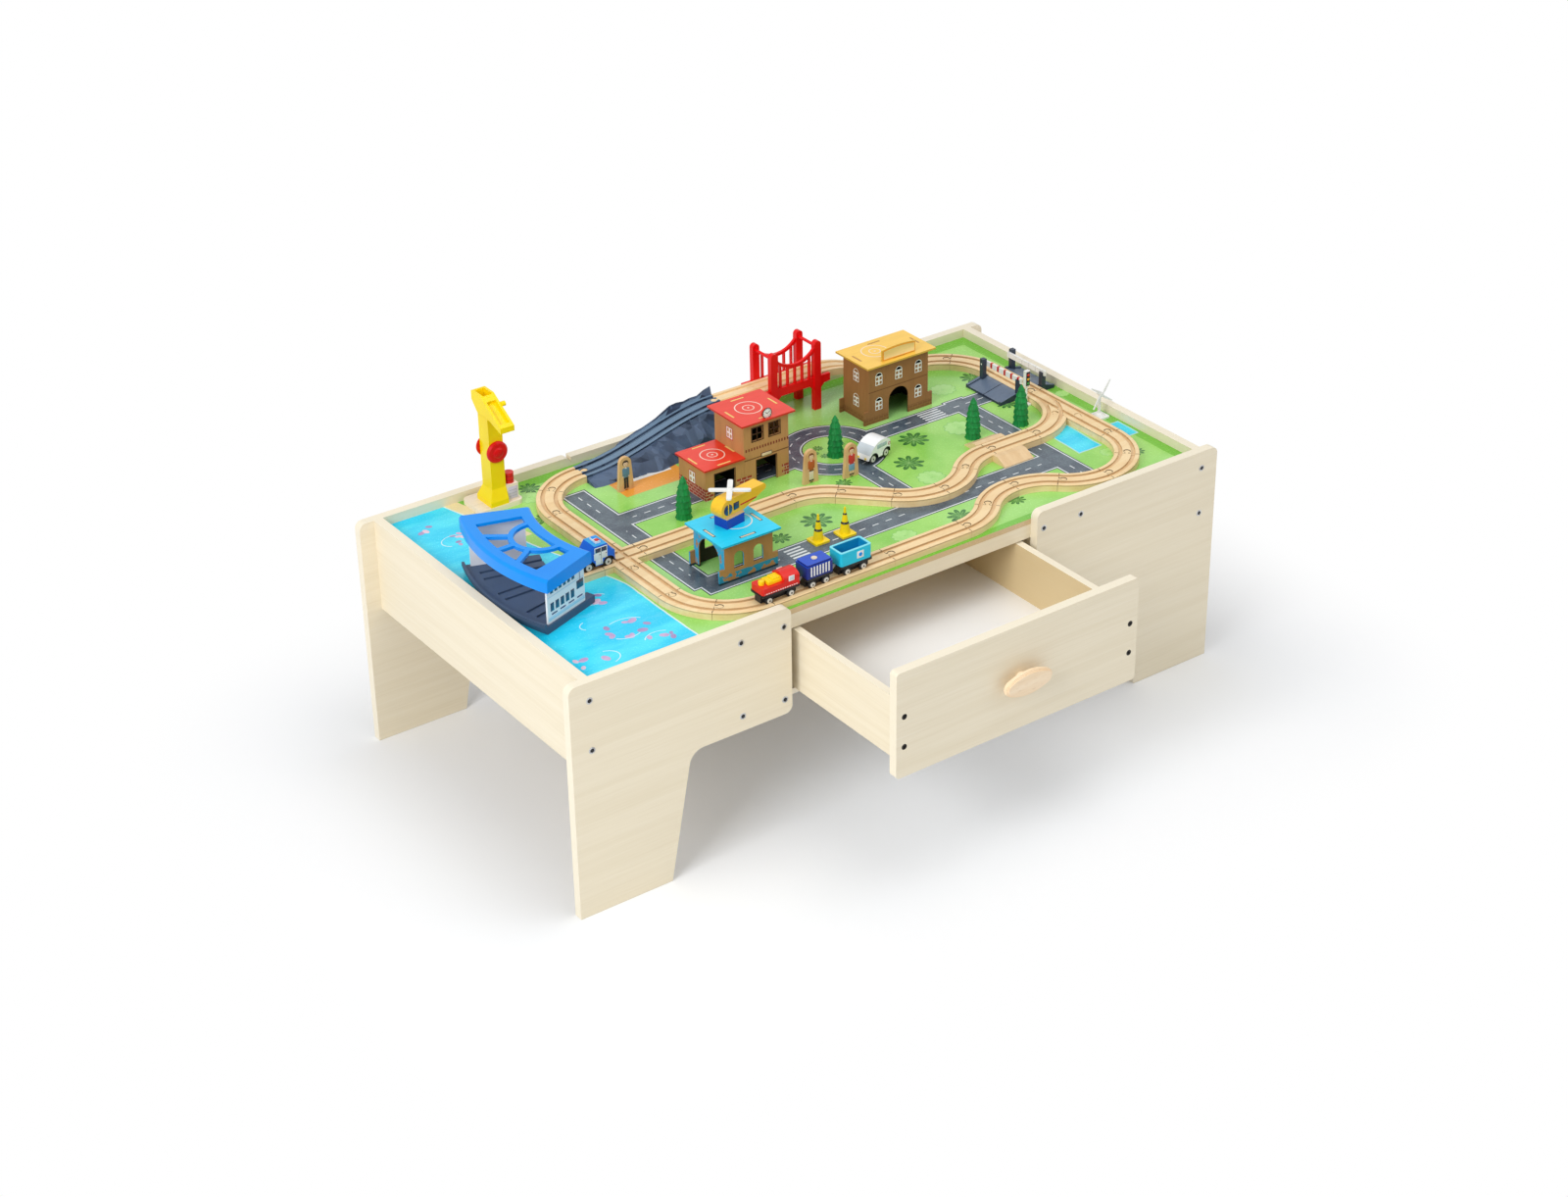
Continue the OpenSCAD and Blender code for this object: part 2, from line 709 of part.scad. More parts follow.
// An oval of four arcs
module oval(l, w) {
    r = w * 0.3;
    end_x = l / 2 - r;
    drop = w / 2 - r;
    c = (end_x * end_x - drop * drop) / (2 * drop);
    big = w / 2 + c;
    intersection() {
        for_both_arcs(c, big);
        square([2 * end_x * big / (big - r), 2 * w], center = true);
    }
    for (s = [-1, 1]) translate([s * end_x, 0]) circle(r);
}
module for_both_arcs(c, big) intersection() {
    translate([0, -c]) circle(big, $fn = 192);
    translate([0, c]) circle(big, $fn = 192);
}
module drawer_pull() color("burlywood") table_frame() translate([0, front_y, pull_z]) rotate([90, 0, 0]) {
    cylinder(d = pull_stem_d, h = pull_stem_l + pull_t / 2);
    for (i = [0:2]) translate([0, 0, pull_stem_l + i * pull_t / 8])
        linear_extrude(pull_t - i * pull_t / 4) oval(pull_l - (2 - i) * 3, pull_h - (2 - i) * 3);
}
module drawer_screws() color("silver") table_frame() screw_places() difference() {
    bolt_shape(0);
    translate([0, -eps, 0]) rotate([-90, 0, 0]) cylinder(d = bolt_d, h = bolt_head_h / 2, $fn = 6);
}

// Track section, x across and y up, and the grooves cut into it
module track_section(h = track_h) difference() {
    polygon([[-track_w / 2, 0], [track_w / 2, 0], [track_w / 2, h - track_chamfer],
        [track_w / 2 - track_chamfer, h], [-track_w / 2 + track_chamfer, h],
        [-track_w / 2, h - track_chamfer]]);
    groove_section();
}
module groove_section() for (s = [-1, 1]) translate([s * gauge / 2 - groove_w / 2, track_h - groove_d])
    square([groove_w, groove_d + through]);
module along(l) rotate([90, 0, 90]) linear_extrude(l) children();
module around(turn, skip = 0, stop = 0) mirror([0, turn > 0 ? 0 : 1, 0]) translate([0, curve_r, 0])
    rotate(skip - 90) rotate_extrude(angle = bend - skip - stop) translate([curve_r, 0]) children();
module peg_outline(extra) {
    translate([-through, -neck_w / 2 - extra]) square([neck_l + through, neck_w + 2 * extra]);
    translate([neck_l, 0]) circle(peg_r + extra);
}
module peg() linear_extrude(track_h - groove_d / 4) peg_outline(0);
module socket() translate([0, 0, -through]) linear_extrude(track_h + 2 * through) peg_outline(peg_clear);
module straight_piece(l) {
    difference() {
        translate([joint_gap, 0, 0]) along(l - joint_gap) track_section();
        socket();
    }
    translate([l, 0, 0]) peg();
}
module curved_piece(turn) {
    difference() {
        around(turn, joint_gap / curve_r * 180 / PI) track_section();
        socket();
    }
    end = after([0, 0, 0], [turn, 0]);
    translate([end[0], end[1], 0]) rotate(end[2]) peg();
}
module lay(p, z = 0) on_board([p[0], p[1]]) translate([0, 0, z]) rotate(p[2]) children();

// Rise of the two ramps at a share t of their length
function rise(t) = deck_h * (1 - cos(180 * t)) / 2;
ramp_steps = 16;
module ramp_band(l, low, high) polygon(concat(
    [for (i = [0:ramp_steps]) [l * i / ramp_steps, rise(i / ramp_steps) + low]],
    [for (i = [ramp_steps:-1:0]) [l * i / ramp_steps, rise(i / ramp_steps) + high]]));
module ramp_grooves(l) for (s = [-1, 1]) translate([0, s * gauge / 2, 0]) upright(groove_w)
    ramp_band(l, track_h - groove_d, track_h + through);
module sloping_piece(l) {
    difference() {
        upright(track_w) ramp_band(l, 0, track_h);
        ramp_grooves(l);
        socket();
        translate([0, -track_w, -through]) cube([joint_gap, 2 * track_w, 2 * track_h]);
    }
    translate([l, 0, deck_h]) peg();
}

module straight_tracks() color("burlywood") {
    for (p = level_routes) if (p[1][0] == 0) lay(p[0]) straight_piece(p[1][1]);
    for (p = raised_route) lay(p[0], deck_h) straight_piece(p[1][1]);
    lay([right_x - curve_r, line_back, 180]) sloping_piece(slope_l);
}
// The last curve of the inner line ends against the switch, so its corner is cut to the column's side
module curved_tracks() color("burlywood") difference() {
    for (p = level_routes) if (abs(p[1][0]) == 1) lay(p[0]) curved_piece(p[1][0]);
    on_board([right_x - track_w / 2 - peg_clear, switch_y]) translate([0, 0, -through])
        cube([track_w, switch_l, track_h + 2 * through]);
}
module crossing_track() color("burlywood") on_board([left_x, cross_y]) {
    difference() {
        for (a = [0, 90]) rotate(a) translate([-cross_l / 2, 0, 0]) along(cross_l) track_section();
        for (a = [0, 90]) rotate(a) translate([-cross_l / 2 - through, 0, 0])
            along(cross_l + 2 * through) groove_section();
    }
    for (a = [0:90:270]) rotate(a) translate([cross_l / 2, 0, 0]) peg();
}
branch_end = [right_x - step_y, inner_y2 + step_y, bend];
// Angles at which the branch and its grooves run out into the straight
merge_stop = 6;
groove_stop = 4;
// The branch is milled this much lower than the straight
merge_step = 0.02;
module switch_track() color("burlywood") {
    difference() {
        union() {
            lay([right_x, switch_y, 90]) along(switch_l) track_section();
            lay(branch_end) around(1, stop = merge_stop) track_section(track_h - merge_step);
        }
        lay([right_x, switch_y, 90]) translate([-through, 0, 0])
            along(switch_l + 2 * through) groove_section();
        lay(branch_end, -merge_step) around(1, stop = groove_stop) groove_section();
        lay([right_x, switch_y, 90]) socket();
        lay(branch_end) socket();
    }
    lay([right_x, switch_y + switch_l, 90]) peg();
}

// Rock ramp: a grooved core with broken rock flanks lofted along its length
rock_n = 20;
rock_jag = rands(-1, 1, 6 * (rock_n + 1), 11);
function rock_foot_at(t, side) = track_w / 2 + (side < 0 ? rock_foot : back_margin - track_w / 2 - 4)
    * (0.35 + 0.65 * sin(180 * min(1, 0.15 + t * 0.7)));
function rock_crest_at(t, side, j) = rise(t) + track_h + (side < 0 ? -2 - 2 * abs(rock_jag[j])
    : rock_wall * sin(90 * max(0, min(1, (t - 0.3) / 0.5)))
        * (0.72 + 0.26 * sin(1150 * t) + 0.12 * rock_jag[j]) - 1);
function rock_ring(i, side) = let (t = i / rock_n, x = rock_l * t, j = 6 * i, near = track_w / 2,
    foot = rock_foot_at(t, side), spread = foot - near, crest = rock_crest_at(t, side, j))
    [[x, side * (near - 3), 0], [x, side * (foot + 3 * rock_jag[j + 1]), 0],
     [x, side * (near + spread * (0.7 + 0.2 * rock_jag[j + 2])), crest * (0.42 + 0.2 * rock_jag[j + 3])],
     [x, side * (near + spread * (0.33 + 0.15 * rock_jag[j + 4])), crest * (0.8 + 0.13 * rock_jag[j + 5])],
     [x, side * (near + 2), crest], [x, side * (near - 3), rise(t) + track_h - groove_d - 1]];
module rock_flank(side) {
    rings = [for (i = [0:rock_n]) each rock_ring(i, side)];
    m = 6;
    sides = [for (i = [0:rock_n - 1], k = [0:m - 1]) let (a = i * m + k, b = i * m + (k + 1) % m)
        each (side < 0 ? [[a, b, a + m], [b, b + m, a + m]] : [[a, a + m, b], [b, a + m, b + m]])];
    first = [for (k = [1:m - 2]) side < 0 ? [0, k + 1, k] : [0, k, k + 1]];
    last = [for (k = [1:m - 2]) let (o = rock_n * m)
        side < 0 ? [o, o + k, o + k + 1] : [o, o + k + 1, o + k]];
    polyhedron(rings, concat(sides, first, last));
}
module rock_ramp() color("dimgray") lay([rock_x, line_back, 0]) difference() {
    union() {
        upright(track_w) polygon(concat([[0, 0]],
            [for (i = [0:ramp_steps]) [rock_l * i / ramp_steps, rise(i / ramp_steps) + track_h]],
            [[rock_l, 0]]));
        rock_flank(-1);
        rock_flank(1);
    }
    ramp_grooves(rock_l);
    socket();
    translate([rock_l, 0, deck_h]) rotate(180) socket();
}

// Suspension bridge: two side frames with hanging rails, a deck and cross bars
post_x = post_spacing / 2;
frame_y = track_w / 2 + bridge_clear + bridge_t / 2;
rail_t = 5;
bar_n = 5;
rail_top = post_h - 12;
rail_r = (pow(post_x, 2) + pow(rail_sag, 2)) / (2 * rail_sag);
module bridge_side() upright(bridge_t * 0.55) {
    difference() {
        translate([-post_x - beam_over, deck_h - bridge_deck_t])
            square([post_spacing + 2 * beam_over, beam_h]);
        for (s = [-1, 1]) translate([s * (post_x + beam_over), deck_h - bridge_deck_t - beam_h * 0.4])
            rotate(s * 14) square([beam_over * 1.4, beam_h], center = true);
    }
    for (s = [-1, 1]) translate([s * post_x, deck_h - bridge_deck_t]) rotate(45)
        square(beam_h * 1.5, center = true);
    intersection() {
        translate([0, rail_top - rail_sag + rail_r]) difference() {
            circle(rail_r, $fn = 96);
            circle(rail_r - rail_t, $fn = 96);
        }
        translate([-post_x, 0]) square([post_spacing, rail_top]);
    }
    for (i = [1:bar_n]) {
        x = -post_x + i * post_spacing / (bar_n + 1);
        top = rail_top - rail_sag + rail_r - sqrt(rail_r * rail_r - x * x);
        translate([x - 1.5, deck_h]) square([3, top - deck_h + rail_t / 2]);
    }
}
module bridge_posts() upright(bridge_t) for (s = [-1, 1]) translate([s * post_x, 0]) {
    translate([-post_w / 2, 0]) square([post_w, post_h - post_w / 2]);
    translate([0, post_h - post_w / 2]) circle(post_w / 2);
}
module bridge_frame() color("red") on_board([bridge_x, line_back]) {
    for (s = [-1, 1]) translate([0, s * frame_y, 0]) {
        bridge_posts();
        bridge_side();
    }
    translate([-post_x - post_w / 2, -frame_y, deck_h - bridge_deck_t])
        cube([post_spacing + post_w, 2 * frame_y, bridge_deck_t]);
    for (s = [-1, 1]) translate([s * post_x, -frame_y, post_h - post_w * 0.8])
        rod(post_w * 0.4, 2 * frame_y);
}

// Engine shed on a ring sector, with its middle bay in line with the crossing
module shed_frame() on_board([shed_x, cross_y]) children();
module sector(r1, r2, half, z1, z2) rotate(180 - half) rotate_extrude(angle = 2 * half, $fn = 96)
    translate([r1, z1]) square([r2 - r1, z2 - z1]);
module shed_base() color("darkslategray") shed_frame() difference() {
    rotate(180 - shed_half) rotate_extrude(angle = 2 * shed_half, $fn = 96) polygon([[shed_r1, 0],
        [shed_r2 - shed_flare, 0], [shed_r2, shed_deck_h], [shed_r2, shed_deck_h + shed_lip_h],
        [shed_r2 - 4, shed_deck_h + shed_lip_h], [shed_r2 - 6, shed_deck_h], [shed_r1, shed_deck_h]]);
    for (a = [-1:1], s = [-1, 1]) rotate(180 + a * bay_angle)
        translate([shed_r1 - 4, s * gauge / 2 - groove_w / 2, shed_deck_h - groove_d])
            cube([shed_d - 16, groove_w, groove_d + through]);
    translate([-shed_r1 - joint_gap, -track_w / 2 - joint_gap, -through])
        cube([track_w, track_w + 2 * joint_gap, shed_deck_h + 2 * through]);
    rotate(180) translate([shed_r1, 0, 0]) socket();
}
shed_roof_z = shed_h - shed_roof_t;
roof_r1 = shed_r1 + roof_back;
roof_r2 = shed_r2 - 2;
wall_r1 = roof_r1 + 2 * shed_roof_r + slide_gap;
wall_r2 = roof_r2 - 2 * shed_roof_r - slide_gap;
wall_turn = shed_half - atan((shed_wall_t / 2 + 2) / wall_r1);
module shed_walls() color("white") shed_frame() for (s = [-1, 1]) rotate(180 + s * wall_turn)
    translate([wall_r1, -shed_wall_t / 2, shed_deck_h])
        cube([wall_r2 - wall_r1, shed_wall_t, shed_roof_z - shed_deck_h]);
roof_half = shed_half + 1.2;
skirt_t = 4;
window_half = roof_half - 6;
window_r1 = roof_r1 + 18;
window_r2 = roof_r2 - 18;
eye_r = shed_d * 0.33;
module roof_profile() {
    translate([roof_r1 + shed_roof_r, shed_roof_z])
        square([roof_r2 - roof_r1 - 2 * shed_roof_r, shed_roof_t]);
    for (r = [roof_r1, roof_r2 - skirt_t]) translate([r, shed_h - skirt_h])
        square([skirt_t, skirt_h - shed_roof_r]);
    for (r = [roof_r1 + shed_roof_r, roof_r2 - shed_roof_r]) translate([r, shed_h - shed_roof_r])
        circle(shed_roof_r);
}
module shed_roof() color("dodgerblue") shed_frame() {
    difference() {
        rotate(180 - roof_half) rotate_extrude(angle = 2 * roof_half, $fn = 96) roof_profile();
        intersection() {
            sector(window_r1, window_r2, window_half, 0, shed_h + through);
            translate([-window_r1, 0, shed_roof_z - through]) linear_extrude(shed_roof_t + 3 * through) {
                circle(eye_r);
                difference() {
                    circle(2 * shed_d);
                    circle(eye_r + roof_rib_w);
                    for (a = [-36, 0, 36]) rotate(180 + a) translate([0, -roof_rib_w / 2])
                        square([shed_d, roof_rib_w]);
                }
            }
        }
    }
    for (s = [-1, 1]) rotate(180 + s * roof_half)
        translate([roof_r1, s > 0 ? -skirt_t : 0, shed_h - skirt_h])
            cube([roof_r2 - roof_r1, skirt_t, skirt_h - shed_roof_r]);
}

// Crane: the foot widens to three sides and stands beside the loading block
tower_x = -tower_w / 2 + crane_plate_l / 2 - 26;
tower_y = -crane_plate_w / 2 + tower_d / 2 + foot_flare + 1;
tower_l = tower_h - crane_plate_t;
module crane_base() on_board(crane_place) {
    color("linen") linear_extrude(crane_plate_t) round_rect(crane_plate_l, crane_plate_w, 10);
    translate([tower_x + tower_w / 2 + slide_gap, tower_y - tower_d / 2 - 2, crane_plate_t]) {
        color("linen") cube([block_w, block_w, block_h]);
        color("red") translate([block_w / 2, block_w / 2, block_h]) cylinder(r = barrel_r, h = barrel_h);
    }
}
module tower_frame(z) on_board(crane_place) translate([tower_x, tower_y, z]) children();
module crane_tower() color("gold") tower_frame(crane_plate_t) difference() {
    union() {
        translate([-tower_w / 2, -tower_d / 2, 0]) cube([tower_w, tower_d, tower_l]);
        hull() {
            translate([-tower_w / 2 - foot_flare, -tower_d / 2 - foot_flare, 0])
                cube([tower_w + foot_flare, tower_d + 2 * foot_flare, foot_h * 0.3]);
            translate([-tower_w / 2, -tower_d / 2, 0]) cube([tower_w, tower_d, foot_h]);
        }
        translate([0, 0, tower_l]) cylinder(d = jib_pin_d, h = jib_pin_l);
    }
    translate([0, -tower_d, winch_z - crane_plate_t]) rod(winch_d + 2 * pivot_clear, 2 * tower_d);
}
jib_tip_z = arm_h - 10;
jib_knee = 4;
jib_lean = atan((jib_h - jib_tip_z) / (jib_l + jib_knee));
module crane_jib() color("gold") tower_frame(tower_h + slide_gap) difference() {
    union() {
        sideways(tower_w) polygon([[tower_d / 2, 0], [jib_back, jib_h * 0.55], [jib_back, jib_h],
            [jib_knee, jib_h], [-jib_l, jib_tip_z], [-jib_l, jib_tip_z - arm_h], [-tower_d / 2 - 6, 0]]);
        translate([tower_w / 2 - eps, -tower_d * 0.6, jib_h * 0.62]) rotate([0, 90, 0])
            cylinder(r = 4, h = 6);
    }
    translate([0, 0, -through]) cylinder(d = jib_pin_d + 2 * pivot_clear, h = jib_pin_l + 2 * through);
    translate([0, jib_knee, jib_h]) rotate([jib_lean, 0, 0])
        translate([-tower_w / 2 + jib_wall, -jib_l - 6, -6])
            cube([tower_w - 2 * jib_wall, jib_l - 8, 6 + through]);
    translate([-tower_w / 2 + jib_wall, 2, jib_h - 13])
        cube([tower_w - 2 * jib_wall, jib_back - 2 - jib_wall, 13 + through]);
}
knob_y = tower_d / 2 + slide_gap;
module crane_winch() color("red") tower_frame(winch_z) rotate([-90, 0, 0]) {
    translate([0, 0, -knob_y - knob_t / 2]) cylinder(d = winch_d, h = 2 * knob_y + knob_t);
    for (s = [0, 1]) mirror([0, 0, s]) translate([0, 0, knob_y]) rotate_extrude() polygon([[0, 0],
        [knob_r, 0], [knob_r, knob_t * 0.35], [knob_r * 0.86, knob_t * 0.7], [knob_r * 0.5, knob_t * 0.8],
        [knob_r * 0.35, knob_t], [0, knob_t]]);
}

// Plywood walls: a wall has a tab on top that stands in a slot of the roof
module wall_outline(l, h, wings = 0) {
    translate([-l / 2, 0]) square([l, h]);
    translate([-tab_l / 2, h - eps]) square([tab_l, ply_t + eps]);
    if (wings > 0) translate([-l / 2 - wings, 0]) square([l + 2 * wings, wing_h]);
}
// Four walls of a block of size l by w, front at y = 0; the front and back walls run over the sides
module wall_box(l, w, h, wings) {
    translate([l / 2, ply_t / 2, 0]) upright(ply_t) difference() {
        wall_outline(l, h, wings);
        children(0);
    }
    translate([l / 2, w - ply_t / 2, 0]) upright(ply_t) difference() {
        wall_outline(l, h, wings);
        children(1);
    }
    for (x = [ply_t / 2, l - ply_t / 2]) translate([x, w / 2, 0]) sideways(ply_t) difference() {
        wall_outline(w - 2 * ply_t, h);
        children(2);
    }
}
module slotted_roof(l, w, over) difference() {
    translate([-over, -over, 0]) cube([l + 2 * over, w + 2 * over, ply_t]);
    for (y = [ply_t / 2, w - ply_t / 2]) translate([l / 2, y, 0])
        cube([tab_l + 2 * tab_clear, ply_t + 2 * tab_clear, 3 * ply_t], center = true);
    for (x = [ply_t / 2, l - ply_t / 2]) translate([x, w / 2, 0])
        cube([ply_t + 2 * tab_clear, tab_l + 2 * tab_clear, 3 * ply_t], center = true);
}
module doorway(w, h) translate([-w / 2, -through]) square([w, h + through]);
module windows(n, pitch, w, h, z) for (i = [0:n - 1])
    translate([(i - (n - 1) / 2) * pitch - w / 2, z]) square([w, h]);
module no_cut() translate([0, -3 * through]) square(through);

red_low_w = red_w - 2 * ply_t;
red_window_z = red_tall_h - red_window_h - 10;
module red_windows() windows(2, red_window_pitch, red_window_w, red_window_h, red_window_z);
module red_station_walls() color("peru") on_board([red_x, red_y]) {
    wall_box(red_low_l, red_low_w, red_low_h, 0) {
        doorway(red_door_w, red_door_h);
        no_cut();
        no_cut();
    }
    translate([red_low_l + tab_clear, 0, 0]) wall_box(red_tall_l, red_w, red_tall_h, 0) {
        union() {
            doorway(red_door_w, red_door_h);
            red_windows();
        }
        red_windows();
        no_cut();
    }
}
low_roof_over = red_over - 4;
module red_station_roofs() color("tomato") on_board([red_x, red_y]) {
    translate([0, 0, red_low_h]) difference() {
        slotted_roof(red_low_l, red_low_w, low_roof_over);
        translate([red_low_l, -red_w, -through]) cube([red_w, 3 * red_w, 3 * ply_t]);
    }
    translate([red_low_l + tab_clear, 0, red_tall_h]) {
        slotted_roof(red_tall_l, red_w, red_over);
        translate([red_tall_l * 0.5, -red_over + 2 * ply_t, ply_t + clock_r * 0.85])
            upright(ply_t) circle(clock_r);
    }
}

module blue_windows() for (s = [-1, 1]) translate([s * blue_l * 0.2, 20]) difference() {
    arch(17, 27);
    translate([-20, -20]) square([40, 20]);
}
module blue_station_walls() color("peru") on_board([blue_x, blue_y])
    wall_box(blue_l, blue_w, blue_h, wing_l) {
        blue_windows();
        blue_windows();
        arch(blue_door_w, blue_h - 8);
    }
module blue_station_roof() color("deepskyblue") on_board([blue_x, blue_y]) translate([0, 0, blue_h])
    slotted_roof(blue_l, blue_w, blue_over);

module yellow_station_walls() color("sienna") on_board([yellow_x, yellow_y])
    wall_box(yellow_l, yellow_w, yellow_h, wing_l) {
        arch(yellow_door_w, yellow_door_h);
        no_cut();
        no_cut();
    }
// The sign stands on the roof over the front wall, above the wall's tab
sign_r = (sign_l * sign_l / 4 + sign_rise * sign_rise) / (2 * sign_rise);
module yellow_station_roof() color("orange") on_board([yellow_x, yellow_y]) translate([0, 0, yellow_h]) {
    slotted_roof(yellow_l, yellow_w, yellow_over);
    translate([yellow_l / 2, ply_t / 2, ply_t - eps]) upright(ply_t) difference() {
        intersection() {
            translate([-sign_l / 2, 0]) square([sign_l, sign_h]);
            translate([0, sign_h - sign_r]) circle(sign_r, $fn = 96);
        }
        translate([-tab_l / 2 - tab_clear, -through])
            square([tab_l + 2 * tab_clear, through + 2 * tab_clear]);
    }
}

// Level crossing: a sloped plate with two posts on each side of the track
module ramp_plate(l, w, up) sideways_along(l) polygon([[0, 0], [w, 0], [w, track_h - 1 + up],
    [w * 0.82, track_h - 1 + up], [3, ramp_lip + up], [0, ramp_lip + up]]);
module sideways_along(l) translate([0, l / 2, 0]) rotate([90, 0, 0]) linear_extrude(l) children();
arm_x = track_w / 2 + ramp_clear + barrier_t / 2 + 3;
pivot_x = arm_x + barrier_t / 2 + slide_gap;
pivot_y = crossing_l / 2 - barrier_post / 2 - 2;
fork_y = pivot_y - barrier_l + barrier_post;
module crossing_side(w) {
    for (s = [-1, 1]) translate([-track_w / 2 - ramp_clear - w, s * (crossing_l - ramp_kerb_w) / 2, 0])
        ramp_plate(ramp_kerb_w, w, ramp_kerb_h);
    difference() {
        translate([-track_w / 2 - ramp_clear - w, 0, 0]) ramp_plate(crossing_l, w, 0);
        translate([-track_w / 2 - ramp_clear - w + 6, -0.6, 2]) cube([w - 12, 1.2, track_h]);
    }
    difference() {
        translate([-pivot_x - barrier_post, pivot_y - barrier_post / 2, ramp_lip])
            cube([barrier_post, barrier_post, barrier_z + barrier_h - ramp_lip]);
        translate([-pivot_x - barrier_post - through, pivot_y, barrier_z]) rotate([0, 90, 0])
            cylinder(d = barrier_pin_d + 2 * pivot_clear, h = barrier_post + 2 * through);
    }
    translate([-arm_x - barrier_post / 2, fork_y - barrier_post / 2, ramp_lip])
        cube([barrier_post, barrier_post, barrier_z - barrier_h / 2 - ramp_lip]);
    for (s = [-1, 1]) translate([-arm_x + s * (barrier_t / 2 + 1.2) - 0.9, fork_y - barrier_post / 2,
        barrier_z - barrier_h / 2 - eps]) cube([1.8, barrier_post, barrier_h * 0.6]);
}
module barrier_arm() {
    translate([-arm_x - barrier_t / 2, pivot_y - barrier_l, barrier_z - barrier_h / 2])
        cube([barrier_t, barrier_l + barrier_post / 2, barrier_h]);
    translate([-pivot_x - barrier_post, pivot_y, barrier_z]) rotate([0, 90, 0])
        cylinder(d = barrier_pin_d, h = barrier_post + pivot_x - arm_x + barrier_t / 4);
}
module crossing_frame() on_board([right_x, crossing_y]) children();
module crossing_ramps() color("darkslategray") crossing_frame() {
    crossing_side(near_ramp_w);
    mirror([1, 0, 0]) crossing_side(far_ramp_w);
}
module near_barrier() color("white") crossing_frame() barrier_arm();
module far_barrier() color("white") crossing_frame() mirror([1, 0, 0]) barrier_arm();

// Traffic light and cones
light_box_h = light_h * 0.45;
module road_signs() {
    color("white") on_board(light_place) {
        translate([-light_w * 0.7, -light_w * 0.7, 0]) cube([light_w * 1.4, light_w * 1.4, 3]);
        cylinder(d = light_w * 0.4, h = light_h - light_box_h / 2);
        translate([-light_w / 2, -light_w * 0.35, light_h - light_box_h])
            cube([light_w, light_w * 0.7, light_box_h]);
    }
    color("gold") for (p = cone_places) on_board(p) {
        linear_extrude(3) round_rect(cone_foot, cone_foot, 2);
        rotate_extrude() polygon([[0, 3], [cone_foot * 0.31, 3], [cone_foot * 0.24, cone_h * 0.42],
            [cone_foot * 0.19, cone_h * 0.46], [cone_foot * 0.12, cone_h * 0.74],
            [cone_foot * 0.09, cone_h * 0.77], [cone_foot * 0.06, cone_h * 0.97],
            [cone_foot * 0.03, cone_h], [0, cone_h]]);
    }
}

// Wind turbine; its rotor faces the front of the table
mast_d = 6;
module turbine_mast() color("white") on_board(turbine_place) difference() {
    union() {
        linear_extrude(3) round_rect(turbine_foot, turbine_foot, 3);
        translate([0, 0, 3 - eps]) cylinder(d1 = turbine_foot * 0.8, d2 = mast_d, h = 5);
        cylinder(d1 = mast_d, d2 = mast_d * 0.7, h = hub_z - mast_d / 2);
        translate([0, 0, hub_z]) translate([0, -mast_d / 2, 0]) rod(mast_d + 1, mast_d);
    }
    translate([0, -mast_d, hub_z]) rod(rotor_pin_d + 2 * pivot_clear, 3 * mast_d);
}
module rotor_frame() on_board(turbine_place) translate([0, -mast_d / 2 - slide_gap, hub_z]) children();
module turbine_rotor() color("white") rotor_frame() {
    translate([0, -3, 0]) rod(rotor_pin_d, mast_d + 2);
    translate([0, -3, 0]) rod(mast_d + 1, 3);
    for (a = [0:90:270]) rotate([0, a + 36, 0]) translate([0, -1.5, 0]) upright(1.6)
        polygon([[-1, 0], [1, 0], [3, blade_l * 0.3], [1, blade_l], [-1, blade_l]]);
}

// Helicopter: a rounded side profile with a tail boom, on a stand
heli_z = blue_h + ply_t;
rotor_z = heli_stand_h + heli_h;
mast_l = 7;
module heli_profile() {
    translate([heli_l * 0.2, heli_h / 2]) circle(heli_h / 2);
    translate([heli_l * 0.2, 0]) square([heli_l * 0.22, heli_h]);
    polygon([[heli_l * 0.42, 0], [heli_l * 0.93, heli_h * 0.62], [heli_l * 0.93, heli_h * 0.98],
        [heli_l * 0.42, heli_h]]);
    translate([heli_l * 0.93, heli_h * 0.8]) circle(heli_h * 0.18);
}
module heli_frame() on_board(heli_place, heli_turn) translate([-heli_l * 0.4, 0, heli_z]) children();
module helicopter_body() color("gold") heli_frame() difference() {
    union() {
        translate([0, 0, heli_stand_h]) upright(heli_w) heli_profile();
        translate([heli_l * 0.14, -heli_w / 2 - 2, 0]) cube([heli_l * 0.36, heli_w + 4, heli_stand_h + 2]);
        translate([heli_l * 0.34, 0, rotor_z - 2]) cylinder(d = 9, h = 2 + mast_l - slide_gap);
    }
    translate([heli_l * 0.34, 0, rotor_z - 6]) cylinder(d = rotor_pin_d + 2 * pivot_clear, h = 20);
}
module helicopter_rotor() color("white") heli_frame() translate([heli_l * 0.34, 0, rotor_z + mast_l]) {
    translate([0, 0, -12]) cylinder(d = rotor_pin_d, h = 12 + eps);
    for (a = [0, 90]) rotate(a + 42) linear_extrude(2.4) round_rect(heli_rotor_d, 8, 3.5);
}

